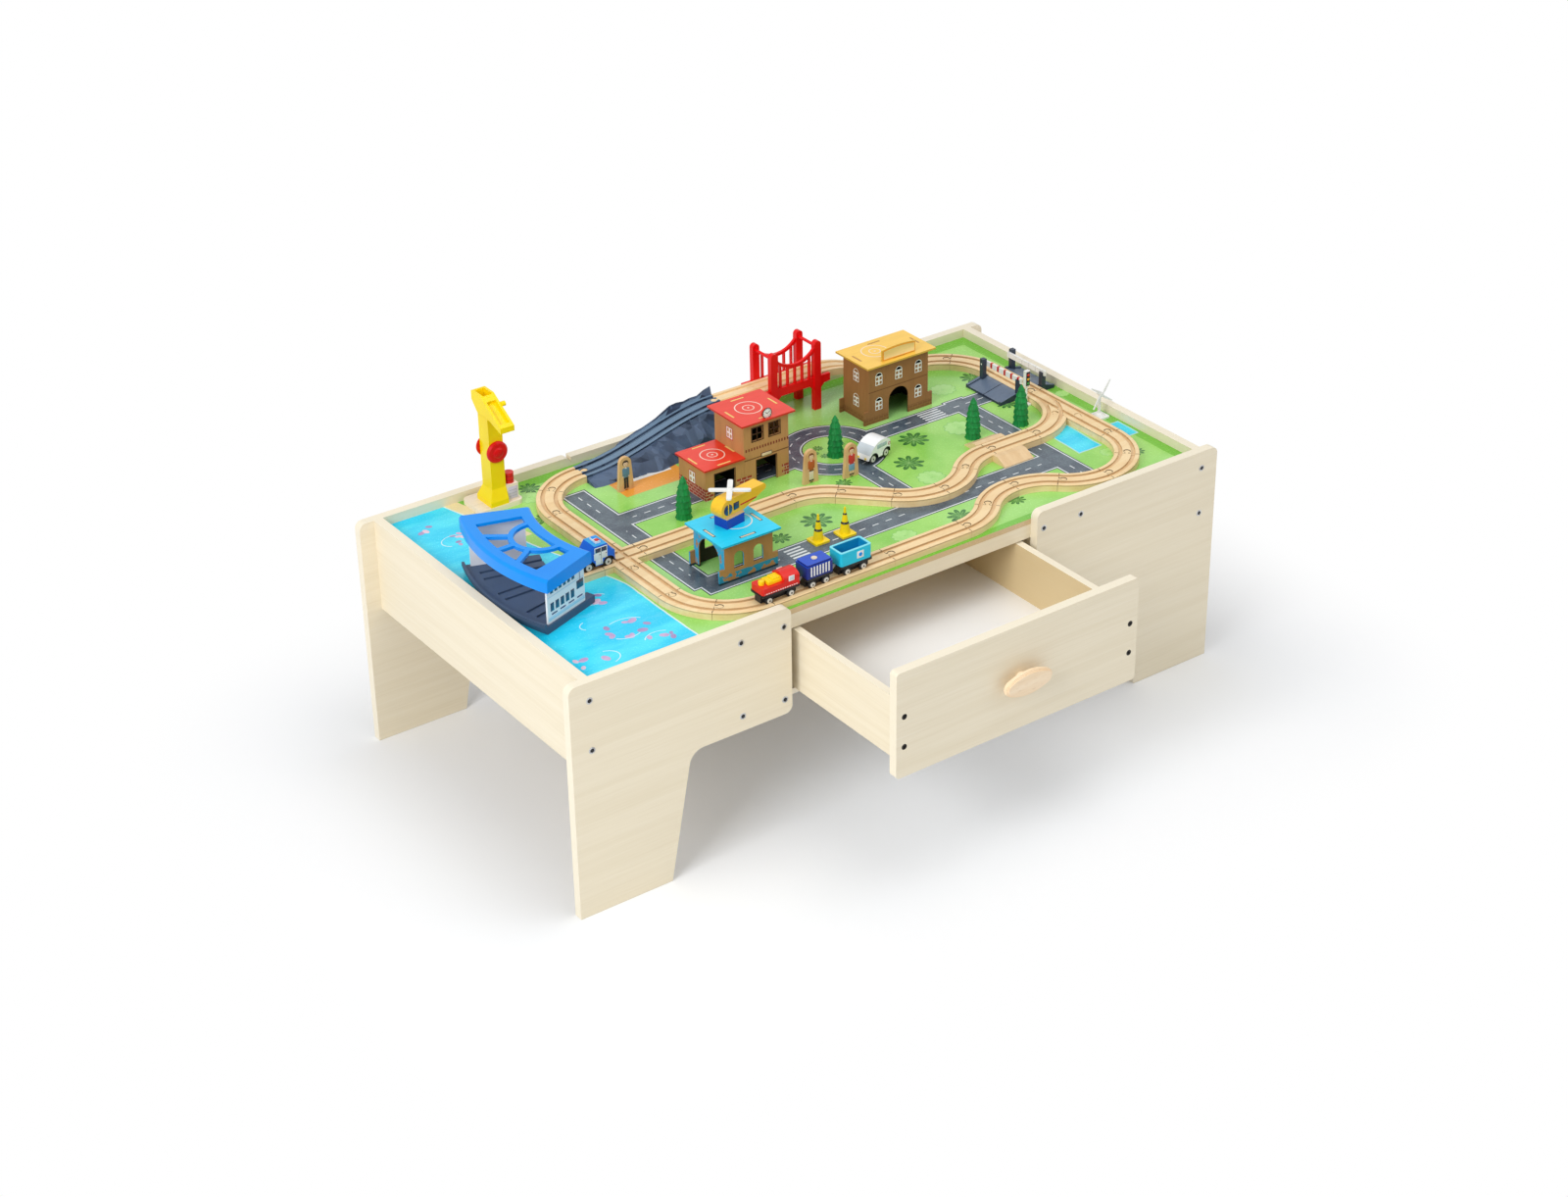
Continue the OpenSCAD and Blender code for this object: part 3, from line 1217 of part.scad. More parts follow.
// Trees: tiers of branches turned from one profile
tier_n = 7;
function tier(i) = let (z = tree_h * (i + 0.35) / (tier_n + 0.4),
        r = tree_r * pow(1 - pow(i / (tier_n + 0.6), 2.2), 0.8))
    [[r, z], [r * 0.82, z + tree_h * 0.6 / tier_n]];
module trees() color("forestgreen") for (p = tree_places) on_board(p) rotate_extrude(convexity = 4)
    polygon(concat([[0, 0], [tree_r * 0.8, 0]], [for (i = [0:tier_n - 1]) each tier(i)], [[0, tree_h]]));
head_r = figure_w * 0.37;
module figures() color("burlywood") for (p = figure_places) on_board(p) upright(figure_t) difference() {
    union() {
        polygon([[-figure_w / 2, 0], [figure_w / 2, 0], [head_r, figure_h - head_r],
            [-head_r, figure_h - head_r]]);
        translate([0, figure_h - head_r]) circle(head_r);
    }
    translate([0, -figure_w * 0.05]) circle(figure_w * 0.14);
}

// Two wooden ramps that carry the road over the inner line
road_x = right_x - 170;
module road_ramps() color("burlywood") for (s = [0, 1]) on_board([road_x, inner_y2]) mirror([0, s, 0])
    translate([0, -track_w / 2 - ramp_clear, 0]) sideways(road_ramp_l)
        polygon([[0, 0], [0, track_h], [-road_ramp_w * 0.35, track_h], [-road_ramp_w, 2],
            [-road_ramp_w, 0]]);

// Vehicles: x = 0 is the front end, y = 0 the middle, z = 0 the rail head or the road
body_low = wheel_d + 1;
axle_z = wheel_d / 2;
module wheel_pair(d) translate([0, 0, d / 2]) {
    translate([0, -axle_track / 2 - 0.5, 0]) rod(axle_d, axle_track + 1);
    for (s = [0, 1]) mirror([0, s, 0]) translate([0, gauge / 2 - wheel_w / 2, 0]) rotate([-90, 0, 0])
        rotate_extrude() polygon([[0, 0], [d / 2 - 0.5, 0], [d / 2, 0.5], [d / 2, wheel_w - 0.7],
            [d / 2 - 0.7, wheel_w], [d * 0.3, wheel_w], [d * 0.26, wheel_w - 0.6], [0, wheel_w - 0.6]]);
}
function axles(l, base) = [(l - base) / 2, (l + base) / 2];
module chassis(l, base, w) difference() {
    union() {
        translate([1, -chassis_w / 2, axle_z - axle_d])
            cube([l - 2, chassis_w, body_low - axle_z + axle_d + eps]);
        translate([0, -w / 2, body_low]) cube([l, w, chassis_h]);
    }
    for (x = axles(l, base)) translate([x, -w, axle_z]) rod(axle_d + 2 * pivot_clear, 2 * w);
}
coupling_l = (wagon_gap - magnet_gap) / 2;
magnet_t = 2.5;
module coupling(x, side) translate([side > 0 ? x - eps : x - coupling_l, 0, body_low + chassis_h / 2])
    rotate([0, 90, 0]) {
        cylinder(d = chassis_h, h = coupling_l + eps);
        translate([0, 0, side > 0 ? coupling_l + eps - magnet_t : 0]) cylinder(d = magnet_d, h = magnet_t);
    }
module train_frame(x) table_frame() translate([x, line_front, track_floor]) children();
body_z = body_low + chassis_h - eps;
body_h = wagon_h - chassis_h;

hood_h = body_h * 0.48;
module cab_outline() {
    translate([-wagon_w / 2, 0]) square([wagon_w, body_h * 0.72]);
    intersection() {
        translate([-wagon_w / 2, 0]) square([wagon_w, body_h]);
        translate([0, body_h - wagon_w * 0.7]) circle(wagon_w * 0.7);
    }
}
module loco_body() color("red") train_frame(train_x) {
    chassis(loco_l, loco_base, wagon_w);
    translate([0, 0, body_z]) {
        translate([loco_l / 2, 0, 0]) linear_extrude(hood_h) round_rect(loco_l, wagon_w, 3);
        translate([loco_l * 0.58, 0, 0]) along(loco_l * 0.42) cab_outline();
        translate([loco_l * 0.22, -wagon_w * 0.3, hood_h - eps])
            cube([loco_l * 0.36 + eps, wagon_w * 0.6, body_h * 0.2]);
        translate([loco_l * 0.36, -wagon_w * 0.24, hood_h - eps])
            cube([loco_l * 0.22 + eps, wagon_w * 0.48, body_h * 0.32]);
        translate([loco_l * 0.12, 0, hood_h - eps]) cylinder(r = wagon_w * 0.15, h = body_h * 0.24);
    }
    coupling(loco_l, 1);
}
module box_wagon_body() color("midnightblue") train_frame(box_x) {
    chassis(box_l, box_base, wagon_w);
    translate([box_l / 2, 0, body_z]) linear_extrude(body_h - 3) round_rect(box_l, wagon_w, 2);
    translate([box_l / 2, 0, body_z + body_h - 3 - eps])
        linear_extrude(3) round_rect(box_l - 3, wagon_w - 3, 2);
    translate([box_l / 2, 0, body_z + body_h - eps]) cylinder(r = 4.5, h = 1.5);
    coupling(0, -1);
    coupling(box_l, 1);
}
hopper_floor = 5;
module hopper_wagon_body() color("turquoise") train_frame(hopper_x) {
    chassis(hopper_l, hopper_base, wagon_w);
    translate([hopper_l / 2, 0, body_z]) difference() {
        linear_extrude(body_h) round_rect(hopper_l, wagon_w, 4);
        translate([0, 0, hopper_floor]) linear_extrude(body_h)
            round_rect(hopper_l - 2 * hopper_t, wagon_w - 2 * hopper_t, 2);
    }
    coupling(0, -1);
}
module train_wheels(x, l, base, i) color("black") train_frame(x + axles(l, base)[i])
    wheel_pair(wheel_d);
module loco_front_wheels() train_wheels(train_x, loco_l, loco_base, 0);
module loco_rear_wheels() train_wheels(train_x, loco_l, loco_base, 1);
module box_front_wheels() train_wheels(box_x, box_l, box_base, 0);
module box_rear_wheels() train_wheels(box_x, box_l, box_base, 1);
module hopper_front_wheels() train_wheels(hopper_x, hopper_l, hopper_base, 0);
module hopper_rear_wheels() train_wheels(hopper_x, hopper_l, hopper_base, 1);

// Cars: a side profile with rounded corners, open wheel arches and a core that carries the axles
module car_body(l, base) difference() {
    union() {
        translate([2, -chassis_w / 2, car_wheel_d / 2 - axle_d]) cube([l - 4, chassis_w, car_sill]);
        intersection() {
            upright(car_w) children();
            translate([l / 2, 0, 0]) linear_extrude(2 * patrol_h) round_rect(l, car_w, car_round);
        }
    }
    for (x = axles(l, base)) translate([x, 0, car_wheel_d / 2]) {
        translate([0, -car_w, 0]) rod(axle_d + 2 * pivot_clear, 2 * car_w);
        for (s = [0, 1]) mirror([0, s, 0]) translate([0, chassis_w / 2, 0])
            rod(car_wheel_d + 2 * arch_gap, car_w);
    }
}
module patrol_frame() table_frame() translate([patrol_x - patrol_l / 2, cross_y, track_floor]) children();
module white_frame() on_board([white_x, white_y], white_turn)
    translate([-white_l / 2, 0, roll_clear]) children();
module patrol_car_body() color("royalblue") patrol_frame() {
    car_body(patrol_l, patrol_base) polygon([[0, car_sill], [0, bonnet_h - 3], [3, bonnet_h + 1],
        [patrol_l * 0.25, bonnet_h + 2], [patrol_l * 0.39, patrol_h], [patrol_l * 0.74, patrol_h],
        [patrol_l * 0.87, bonnet_h + 1], [patrol_l - 3, bonnet_h - 1], [patrol_l, bonnet_h - 4],
        [patrol_l, car_sill]]);
    translate([patrol_l * 0.56, 0, patrol_h + 1]) upright(car_w * 0.6) round_rect(8, 6, 2);
}
white_dome = white_l * 0.58;
module white_car_body() color("white") white_frame() car_body(white_l, white_base) intersection() {
    translate([0, car_sill]) square([white_l, white_h]);
    translate([white_dome, white_h - white_dome]) circle(white_dome, $fn = 96);
}
module car_wheels(x) color("black") translate([x, 0, 0]) wheel_pair(car_wheel_d);
module patrol_front_wheels() patrol_frame() car_wheels(axles(patrol_l, patrol_base)[1]);
module patrol_rear_wheels() patrol_frame() car_wheels(axles(patrol_l, patrol_base)[0]);
module white_front_wheels() white_frame() car_wheels(axles(white_l, white_base)[0]);
module white_rear_wheels() white_frame() car_wheels(axles(white_l, white_base)[1]);

front_left_leg_panel();
front_right_leg_panel();
rear_left_leg_panel();
rear_right_leg_panel();
end_panels();
front_rail();
rear_infill_panel();
play_board();
board_supports();
panel_bolts();
drawer_front();
drawer_box();
drawer_bottom();
drawer_pull();
drawer_screws();
straight_tracks();
curved_tracks();
crossing_track();
switch_track();
rock_ramp();
bridge_frame();
shed_base();
shed_walls();
shed_roof();
crane_base();
crane_tower();
crane_jib();
crane_winch();
red_station_walls();
red_station_roofs();
blue_station_walls();
blue_station_roof();
yellow_station_walls();
yellow_station_roof();
crossing_ramps();
near_barrier();
far_barrier();
road_signs();
turbine_mast();
turbine_rotor();
helicopter_body();
helicopter_rotor();
trees();
figures();
road_ramps();
loco_body();
box_wagon_body();
hopper_wagon_body();
loco_front_wheels();
loco_rear_wheels();
box_front_wheels();
box_rear_wheels();
hopper_front_wheels();
hopper_rear_wheels();
patrol_car_body();
white_car_body();
patrol_front_wheels();
patrol_rear_wheels();
white_front_wheels();
white_rear_wheels();
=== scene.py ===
import bpy
import json
import math
import random
from mathutils import Matrix, Vector
from mathutils.kdtree import KDTree


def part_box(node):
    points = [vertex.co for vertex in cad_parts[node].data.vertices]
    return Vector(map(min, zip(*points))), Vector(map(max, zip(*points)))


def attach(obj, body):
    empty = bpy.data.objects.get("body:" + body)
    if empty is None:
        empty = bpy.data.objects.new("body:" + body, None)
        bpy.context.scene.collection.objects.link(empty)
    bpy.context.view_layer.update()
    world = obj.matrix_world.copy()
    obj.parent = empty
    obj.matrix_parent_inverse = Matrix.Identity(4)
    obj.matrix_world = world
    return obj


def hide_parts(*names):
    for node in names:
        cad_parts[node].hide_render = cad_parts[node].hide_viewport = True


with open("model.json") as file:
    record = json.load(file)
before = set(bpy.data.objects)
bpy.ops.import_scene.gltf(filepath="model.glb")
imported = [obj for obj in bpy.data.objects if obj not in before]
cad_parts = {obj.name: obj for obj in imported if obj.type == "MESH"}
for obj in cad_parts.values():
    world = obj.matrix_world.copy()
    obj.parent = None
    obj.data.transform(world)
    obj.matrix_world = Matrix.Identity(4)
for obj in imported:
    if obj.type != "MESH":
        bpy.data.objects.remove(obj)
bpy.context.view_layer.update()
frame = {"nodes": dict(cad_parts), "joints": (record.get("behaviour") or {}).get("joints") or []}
nodes = frame["nodes"]
print("train table: frame loaded,", len(nodes), "solids")

# Places are written in the table's millimetres: x along it, y across it, h above the play board.
boardTop = 365.0
yShift = 129.0


def spot(x, y, h=0.0):
    return Vector((x, y + yShift, h + boardTop)) / 1000


def tint(r, g, b):
    # a colour as it looks on screen, 0 to 255
    def linear(v):
        v /= 255
        return v / 12.92 if v <= 0.04045 else ((v + 0.055) / 1.055) ** 2.4
    return (linear(r), linear(g), linear(b), 1.0)


def darker(color, share):
    return tuple(c * share for c in color[:3]) + (1.0,)


# A value in a shader, with the usual operators
class Field:
    def __init__(self, paint, socket):
        self.paint = paint
        self.socket = socket

    def calc(self, operation, *others):
        values = dict(enumerate((self,) + others))
        return self.paint.add("ShaderNodeMath", {"operation": operation}, values)

    def __add__(self, other):
        return self.calc("ADD", other)

    def __sub__(self, other):
        return self.calc("SUBTRACT", other)

    def __rsub__(self, other):
        return self.paint.add("ShaderNodeMath", {"operation": "SUBTRACT"}, {0: other, 1: self})

    def __mul__(self, other):
        return self.calc("MULTIPLY", other)

    def __truediv__(self, other):
        return self.calc("DIVIDE", other)

    def __lt__(self, other):
        return self.calc("LESS_THAN", other)

    def __gt__(self, other):
        return self.calc("GREATER_THAN", other)

    def __and__(self, other):
        return self.calc("MINIMUM", other)

    def __or__(self, other):
        return self.calc("MAXIMUM", other)

    def __abs__(self):
        return self.calc("ABSOLUTE")

    __radd__ = __add__
    __rmul__ = __mul__

    def near(self, middle, half):
        return abs(self - middle) < half

    def within(self, low, high):
        return (self > low) & (self < high)

    def every(self, period, share, start=0.0):
        # repeating bands
        return ((self - start) / period).calc("FRACT") < share

    def soft(self, low, high):
        return self.paint.add("ShaderNodeMapRange", {"interpolation_type": "SMOOTHSTEP"},
                              {"Value": self, "From Min": low, "From Max": high})


def radial(a, b):
    return (a * a + b * b).calc("SQRT")


class Paint:
    def __init__(self, name):
        self.material = bpy.data.materials.new(name)
        self.material.use_nodes = True
        self.tree = self.material.node_tree
        self.shader = self.tree.nodes["Principled BSDF"]
        self.place = self.add("ShaderNodeTexCoord", out="Object")
        x, y, z = (self.add("ShaderNodeSeparateXYZ", None, {0: self.place}, out=i) for i in range(3))
        self.x = x * 1000
        self.y = y * 1000 - yShift
        self.h = z * 1000 - boardTop

    def add(self, kind, settings=None, values=None, out=0):
        node = self.tree.nodes.new(kind)
        for key, value in (settings or {}).items():
            setattr(node, key, value)
        for key, value in (values or {}).items():
            self.feed(node.inputs[key], value)
        return Field(self, node.outputs[out])

    def feed(self, socket, value):
        if isinstance(value, Field):
            self.tree.links.new(value.socket, socket)
        else:
            socket.default_value = value

    def facing(self, axis):
        normal = self.add("ShaderNodeTexCoord", out="Normal")
        return self.add("ShaderNodeSeparateXYZ", None, {0: normal}, out="xyz".index(axis))

    def top(self):
        return self.facing("z") > 0.5

    def noise(self, scale, detail=4.0, rough=0.55, shift=(0, 0, 0)):
        size = scale if isinstance(scale, tuple) else (scale, scale, scale)
        where = self.add("ShaderNodeMapping", None, {"Vector": self.place, "Scale": size, "Location": shift})
        return self.add("ShaderNodeTexNoise", None,
                        {"Vector": where, "Scale": 1.0, "Detail": detail, "Roughness": rough})

    def over(self, under, mask, color):
        # color shows where mask is 1
        return self.add("ShaderNodeMix", {"data_type": "RGBA"}, {0: mask, 6: under, 7: color}, out=2)

    def bump(self, height, strength, depth):
        return self.add("ShaderNodeBump", None, {"Height": height, "Strength": strength, "Distance": depth})

    def done(self, color, rough, normal=None, metal=0.0, coat=0.0, coatRough=0.1, gloss=0.32):
        wanted = {"Base Color": color, "Roughness": rough, "Metallic": metal, "Coat Weight": coat,
                  "Coat Roughness": coatRough, "Specular IOR Level": gloss}
        if normal is not None:
            wanted["Normal"] = normal
        for key, value in wanted.items():
            self.feed(self.shader.inputs[key], value)
        return self.material


def dress(material, *names):
    for name in names:
        mesh = nodes[name].data
        mesh.materials.clear()
        mesh.materials.append(material)


# Wood, plastic and paint
# the darker, warmer wood for the drawer's inner faces is painted shade
birch = {"pale": tint(240, 229, 204), "dark": tint(235, 223, 196), "streak": tint(212, 194, 162),
         "shine": tint(250, 245, 235), "cloud": tint(228, 212, 180), "edge": tint(246, 238, 218),
         "insideShade": tint(216, 190, 138), "drawerInside": 202.5}


def veneer(name, grain, face, shadeInside=False):
    p = Paint(name)
    along, fine = {"x": ((2.4, 90, 90), (7, 620, 620)), "y": ((90, 2.4, 90), (620, 7, 620))}[grain]
    figure = p.noise(along, 5, 0.6)
    streak = p.noise(fine, 3, 0.6, (4, 1, 7))
    cloud = p.noise(2.0, 2, 0.5, (3, 8, 2))
    color = p.over(birch["dark"], figure.soft(0.3, 0.68), birch["pale"])
    color = p.over(color, streak.soft(0.56, 0.78) * 0.22, birch["streak"])
    color = p.over(color, streak.soft(0.5, 0.2) * 0.2, birch["shine"])
    color = p.over(color, cloud.soft(0.5, 0.8) * 0.08, birch["cloud"])
    color = p.over(color, (abs(p.facing(face)) < 0.5) * 0.55, birch["edge"])      # paler sawn edges
    if shadeInside:      # painted shade: the inner faces of the drawer darker and warmer, where shade falls inside it
        inside = p.x.near(0, birch["drawerInside"]) & (p.facing("z") < 0.5)
        color = p.over(color, inside * 0.8, birch["insideShade"])
    relief = p.bump(streak * 0.6 + figure * 0.4, 0.12, 0.0004)
    return p.done(color, 0.42 + streak * 0.14, relief, coat=0.12, coatRough=0.35)


def solidWood(name, pale, dark, scale=(14, 70, 70), groove=None):
    p = Paint(name)
    figure = p.noise(scale, 5, 0.62)
    fleck = p.noise(tuple(v * 7 for v in scale), 2, 0.5, (5, 2, 1))
    patch = p.noise(9.0, 1, 0.5, (1, 6, 3))
    color = p.over(dark, figure.soft(0.3, 0.7), pale)
    color = p.over(color, fleck.soft(0.58, 0.75) * 0.2, tint(176, 128, 74))
    color = p.over(color, patch.soft(0.45, 0.75) * 0.3, tint(238, 206, 160))
    if groove is not None:
        # painted shade in the groove: its floor painted darker and more orange, its walls painted dark brown
        up = p.facing("z")
        floor = (up > 0.5) & p.h.near(groove, 0.6)
        wall = (abs(up) < 0.5) & p.h.within(groove, groove + 3.2)
        color = p.over(color, floor * 0.3, tint(206, 150, 92))
        color = p.over(color, wall * 0.45, tint(132, 90, 50))
    relief = p.bump(figure + fleck * 0.5, 0.15, 0.0003)
    return p.done(color, 0.4 + fleck * 0.2, relief, coat=0.1, coatRough=0.3)


def moulded(name, color, rough, coat=0.0, grain=900.0, shade=None):
    # moulded plastic, with a slight mottle and a fine skin
    p = Paint(name)
    cloud = p.noise(14.0, 3, 0.55)
    skin = p.noise(grain, 2, 0.5)
    tone = p.over(color, cloud.soft(0.42, 0.78) * 0.36, shade or darker(color, 0.72))
    return p.done(tone, rough + skin * 0.12, p.bump(skin + cloud * 0.4, 0.06, 0.0002), coat=coat, gloss=0.22)


def painted(name, color, rough=0.3, coat=0.12):
    # brushed gloss paint on wood
    p = Paint(name)
    brush = p.noise((30, 240, 240), 4, 0.6)
    wear = p.noise(60.0, 4, 0.6)
    worn = tuple(min(1, c * 1.2 + 0.03) for c in color[:3]) + (1.0,)
    tone = p.over(color, brush.soft(0.4, 0.75) * 0.35, darker(color, 0.8))
    tone = p.over(tone, wear.soft(0.68, 0.8) * 0.25, worn)
    return p.done(tone, rough + brush * 0.15, p.bump(brush, 0.08, 0.0002), coat=coat, coatRough=0.15)


white = painted("whitePaint", tint(240, 240, 237))
black = painted("blackPaint", tint(26, 26, 29))
navy = painted("navyPaint", tint(26, 42, 104))
scarlet = painted("scarletPaint", tint(208, 28, 24))
lemon = painted("lemonPaint", tint(250, 214, 22))
redTrim = painted("trimRed", tint(176, 44, 34))
frameWhite = painted("frameWhite", tint(244, 244, 240))
darkPly = painted("darkPly", tint(74, 44, 28), coat=0.1)
glassBlue = painted("windowBlue", tint(28, 52, 92), rough=0.15, coat=0.8)
paleGlass = painted("paneBlue", tint(204, 220, 226), rough=0.18, coat=0.6)


# Table: panels, drawer and bolts
def laminate():
    p = Paint("whiteLaminate")
    cloud = p.noise(5.0, 3)
    speck = p.noise(700.0, 2)
    color = p.over(tint(251, 251, 250), cloud.soft(0.45, 0.8) * 0.5, tint(243, 243, 243))
    return p.done(color, 0.3 + speck * 0.15, p.bump(speck, 0.08, 0.0002))


def plated(name, pale, dark):
    p = Paint(name)
    scuff = p.noise((200, 900, 200), 3)
    color = p.over(pale, scuff.soft(0.4, 0.7), dark)
    return p.done(color, 0.3 + scuff * 0.25, p.bump(scuff, 0.15, 0.0002), metal=0.85)


zinc = plated("zincPlate", tint(214, 214, 214), tint(168, 168, 170))
dress(veneer("birchAlongTable", "x", "y"), "front_left_leg_panel", "front_right_leg_panel",
      "rear_left_leg_panel", "rear_right_leg_panel", "front_rail", "rear_infill_panel", "drawer_front")
dress(veneer("birchAcrossTable", "y", "x"), "end_panels", "board_supports")
dress(veneer("drawerBirch", "y", "x", shadeInside=True), "drawer_box")
dress(solidWood("turnedBeech", tint(253, 232, 202), tint(246, 220, 184), (10, 60, 60)), "drawer_pull")
dress(laminate(), "drawer_bottom")
dress(zinc, "panel_bolts")
dress(plated("blackSteel", tint(62, 60, 58), tint(24, 23, 22)), "drawer_screws")

boardPrint = {
    # rectangles: middle in x and y, half length in x and y
    "roads": [(-278, 22, 22, 182), (-100, 84, 178, 22), (52, -158, 340, 26), (390, -61, 22, 168),
              (300, 82, 152, 21), (129, -70, 20, 88)],
    "yard": (-158, 169, 60, 27), "pavement": (-146, 189, 35, 9), "pavementLine": (-146, 189, 32, 1.2),
    "ponds": [(460, -122, 20, 40, 0.2), (545, -142, 11, 22, 0.15)],      # and how far the bank wanders
    # and the period and start of their bars
    "crossings": [(-114, -158, 15, 20, 8.0, -2), (330, 82, 21, 16, 7.0, 1)],
    # dashed lines: the axis that they follow, their place across it, their spans
    "dashes": [("y", -278, ((-118, 52), (114, 196))), ("x", 84, ((-246, -140), (-20, 30))),
               ("x", -158, ((-240, -146), (-84, 100), (160, 358))), ("y", 390, ((-218, -178), (-120, 50))),
               ("x", 82, ((226, 296), (366, 442))), ("y", 129, ((-124, -22),))],
    "dash": 25.0, "dashHalf": 0.9, "lineInset": 3.2, "lineHalf": 1.1,
    "roundabout": (127, 80), "ringOuter": 88, "ringInner": 47, "shore": -366,
    "rimRight": 542, "rimBack": 262, "rimFront": -272,
    "grass": tint(162, 220, 106), "lawn": tint(128, 200, 72), "mint": tint(176, 234, 152),
    "border": tint(112, 188, 56), "asphalt": tint(94, 108, 118), "asphaltDark": tint(72, 84, 97),
    "grit": tint(120, 130, 140), "kerb": tint(34, 40, 48), "line": tint(232, 238, 240),
    "water": tint(72, 228, 252), "waterDeep": tint(24, 207, 245), "ripple": tint(190, 242, 252),
    "bank": tint(178, 226, 226), "shoreLine": tint(222, 240, 240), "sand": tint(236, 220, 170),
    "yardTone": tint(236, 160, 62), "pavementTone": tint(238, 238, 234), "pavementMark": tint(90, 100, 112),
    "boardEdge": tint(214, 188, 146),
}


def playPrint(kit):
    p = Paint("printedBoard")
    x, y = p.x, p.y
    wobble = (p.noise(16.0, 3) - 0.5) * 26
    patch = p.noise(11.0, 3, 0.5, (2, 5, 1))
    speck = p.noise(260.0, 2)

    def past(cx, cy, halfX, halfY, across=x):
        # distance from a rectangle, below 0 inside it
        return (abs(across - cx) - halfX) | (abs(y - cy) - halfY)

    def block(cx, cy, halfX, halfY):
        return x.near(cx, halfX) & y.near(cy, halfY)
    # grass, darker along three sides
    color = p.over(kit["grass"], patch.soft(0.42, 0.66) * 0.75, kit["lawn"])
    color = p.over(color, p.noise(5.0, 2, 0.5, (1, 9, 4)).soft(0.45, 0.7) * 0.6, kit["mint"])
    stray = wobble * 0.2
    rim = (x + stray > kit["rimRight"]) | (y + stray > kit["rimBack"]) | (y - stray < kit["rimFront"])
    color = p.over(color, rim * 0.85, kit["border"])
    # roads as one outline, so that their edge lines join
    outline = past(*kit["roads"][0])
    for road in kit["roads"][1:]:
        outline = outline & past(*road)
    ringX, ringY = kit["roundabout"]
    inner, outer = kit["ringInner"], kit["ringOuter"]
    reach = radial(x - ringX, y - ringY)
    outline = (outline & (reach - outer)) | (inner - reach)
    tarmac = p.over(kit["asphalt"], p.noise(34.0, 4, 0.6, (7, 1, 2)).soft(0.4, 0.66), kit["asphaltDark"])
    tarmac = p.over(tarmac, p.noise(900.0, 1).soft(0.56, 0.7) * 0.3, kit["grit"])
    tarmac = p.over(tarmac, (outline > -1.6) * 0.8, kit["kerb"])
    lines = outline.near(-kit["lineInset"], kit["lineHalf"])
    for axis, middle, spans in kit["dashes"]:
        along, across = (x, y) if axis == "x" else (y, x)
        row = across.near(middle, kit["dashHalf"]) & along.every(kit["dash"], 0.46)
        for low, high in spans:
            lines = lines | (row & along.near((low + high) / 2, (high - low) / 2))
    turn = (y - ringY).calc("ARCTAN2", x - ringX)
    lines = lines | (reach.near((outer + inner) / 2, kit["dashHalf"]) & turn.every(0.36, 0.45))
    for cx, cy, halfX, halfY, period, start in kit["crossings"]:
        lines = lines | (block(cx, cy, halfX, halfY) & y.every(period, 0.5, start))
    tarmac = p.over(tarmac, lines * 0.94, kit["line"])
    color = p.over(color, outline < 0, tarmac)
    # paved yard beside the rock, and two ponds
    color = p.over(color, block(*kit["yard"]), kit["yardTone"])
    color = p.over(color, block(*kit["pavement"]), kit["pavementTone"])
    color = p.over(color, block(*kit["pavementLine"]) & x.every(16.0, 0.6), kit["pavementMark"])
    lean = x - y * 0.04
    pond, pool = (past(cx, cy, halfX, halfY, lean) + wobble * wander
                  for cx, cy, halfX, halfY, wander in kit["ponds"])
    basin = pond & pool
    ripples = p.noise((9, 22, 9), 3, 0.55, (9, 2, 4))
    wet = p.over(kit["water"], ripples.soft(0.36, 0.62), kit["waterDeep"])
    wet = p.over(wet, ripples.soft(0.62, 0.76) * 0.2, kit["ripple"])
    color = p.over(color, basin < 4, kit["bank"])
    color = p.over(color, basin < 1.5, wet)
    # the lake at the left end, with a pale edge and a sand strip behind
    shore = x - kit["shore"] + ((y + 80) | 0.0) * 0.25 + wobble * 0.25
    color = p.over(color, (shore < 25) & (y > 130), kit["sand"])
    color = p.over(color, shore < 2.5, kit["shoreLine"])
    color = p.over(color, shore < 0, wet)
    color = p.over(color, p.facing("z") < 0.5, kit["boardEdge"])
    return p.done(color, 0.2 + speck * 0.12, p.bump(speck, 0.04, 0.0002), coat=0.1, coatRough=0.12)


dress(playPrint(boardPrint), "play_board")
print("train table: panels and printed board dressed")


# Modelling helpers
def fresh():
    if bpy.context.object and bpy.context.object.mode != "OBJECT":
        leave()
    bpy.ops.object.select_all(action="DESELECT")


def edit(everything=True):
    bpy.ops.object.mode_set(mode="EDIT")
    if everything:
        bpy.ops.mesh.select_all(action="SELECT")


def leave():
    bpy.ops.object.mode_set(mode="OBJECT")


def settle(piece, name, material):
    # the piece keeps its place in its mesh, its object at the origin
    piece.name = name
    bpy.ops.object.transform_apply(location=True, rotation=True, scale=True)
    piece.data.materials.clear()
    piece.data.materials.append(material)
    return piece


def soften(width):
    edit()
    bpy.ops.mesh.bevel(offset=width / 1000, segments=2, affect="EDGES", clamp_overlap=True)
    leave()


def slab(name, low, high, material, edge):
    fresh()
    a, b = spot(*low), spot(*high)
    bpy.ops.mesh.primitive_cube_add(size=1, location=(a + b) / 2)
    piece = bpy.context.object
    piece.scale = b - a
    settle(piece, name, material)
    soften(edge)
    return piece


faceTurn = {"x": (0, math.pi / 2, 0), "y": (math.pi / 2, 0, 0), "z": (0, 0, 0)}


def disc(name, middle, radius, thick, axis, material, edge=0.2, sides=28):
    fresh()
    bpy.ops.mesh.primitive_cylinder_add(vertices=sides, radius=radius / 1000, depth=thick / 1000,
                                        location=spot(*middle), rotation=faceTurn[axis])
    piece = settle(bpy.context.object, name, material)
    soften(edge)
    return piece


def hoop(name, middle, radius, wire, axis, material, flat):
    fresh()
    bpy.ops.mesh.primitive_torus_add(major_radius=radius / 1000, minor_radius=wire / 1000, major_segments=48,
                                     minor_segments=8, location=spot(*middle), rotation=faceTurn[axis])
    piece = bpy.context.object
    piece.scale = (1, 1, flat)
    return settle(piece, name, material)


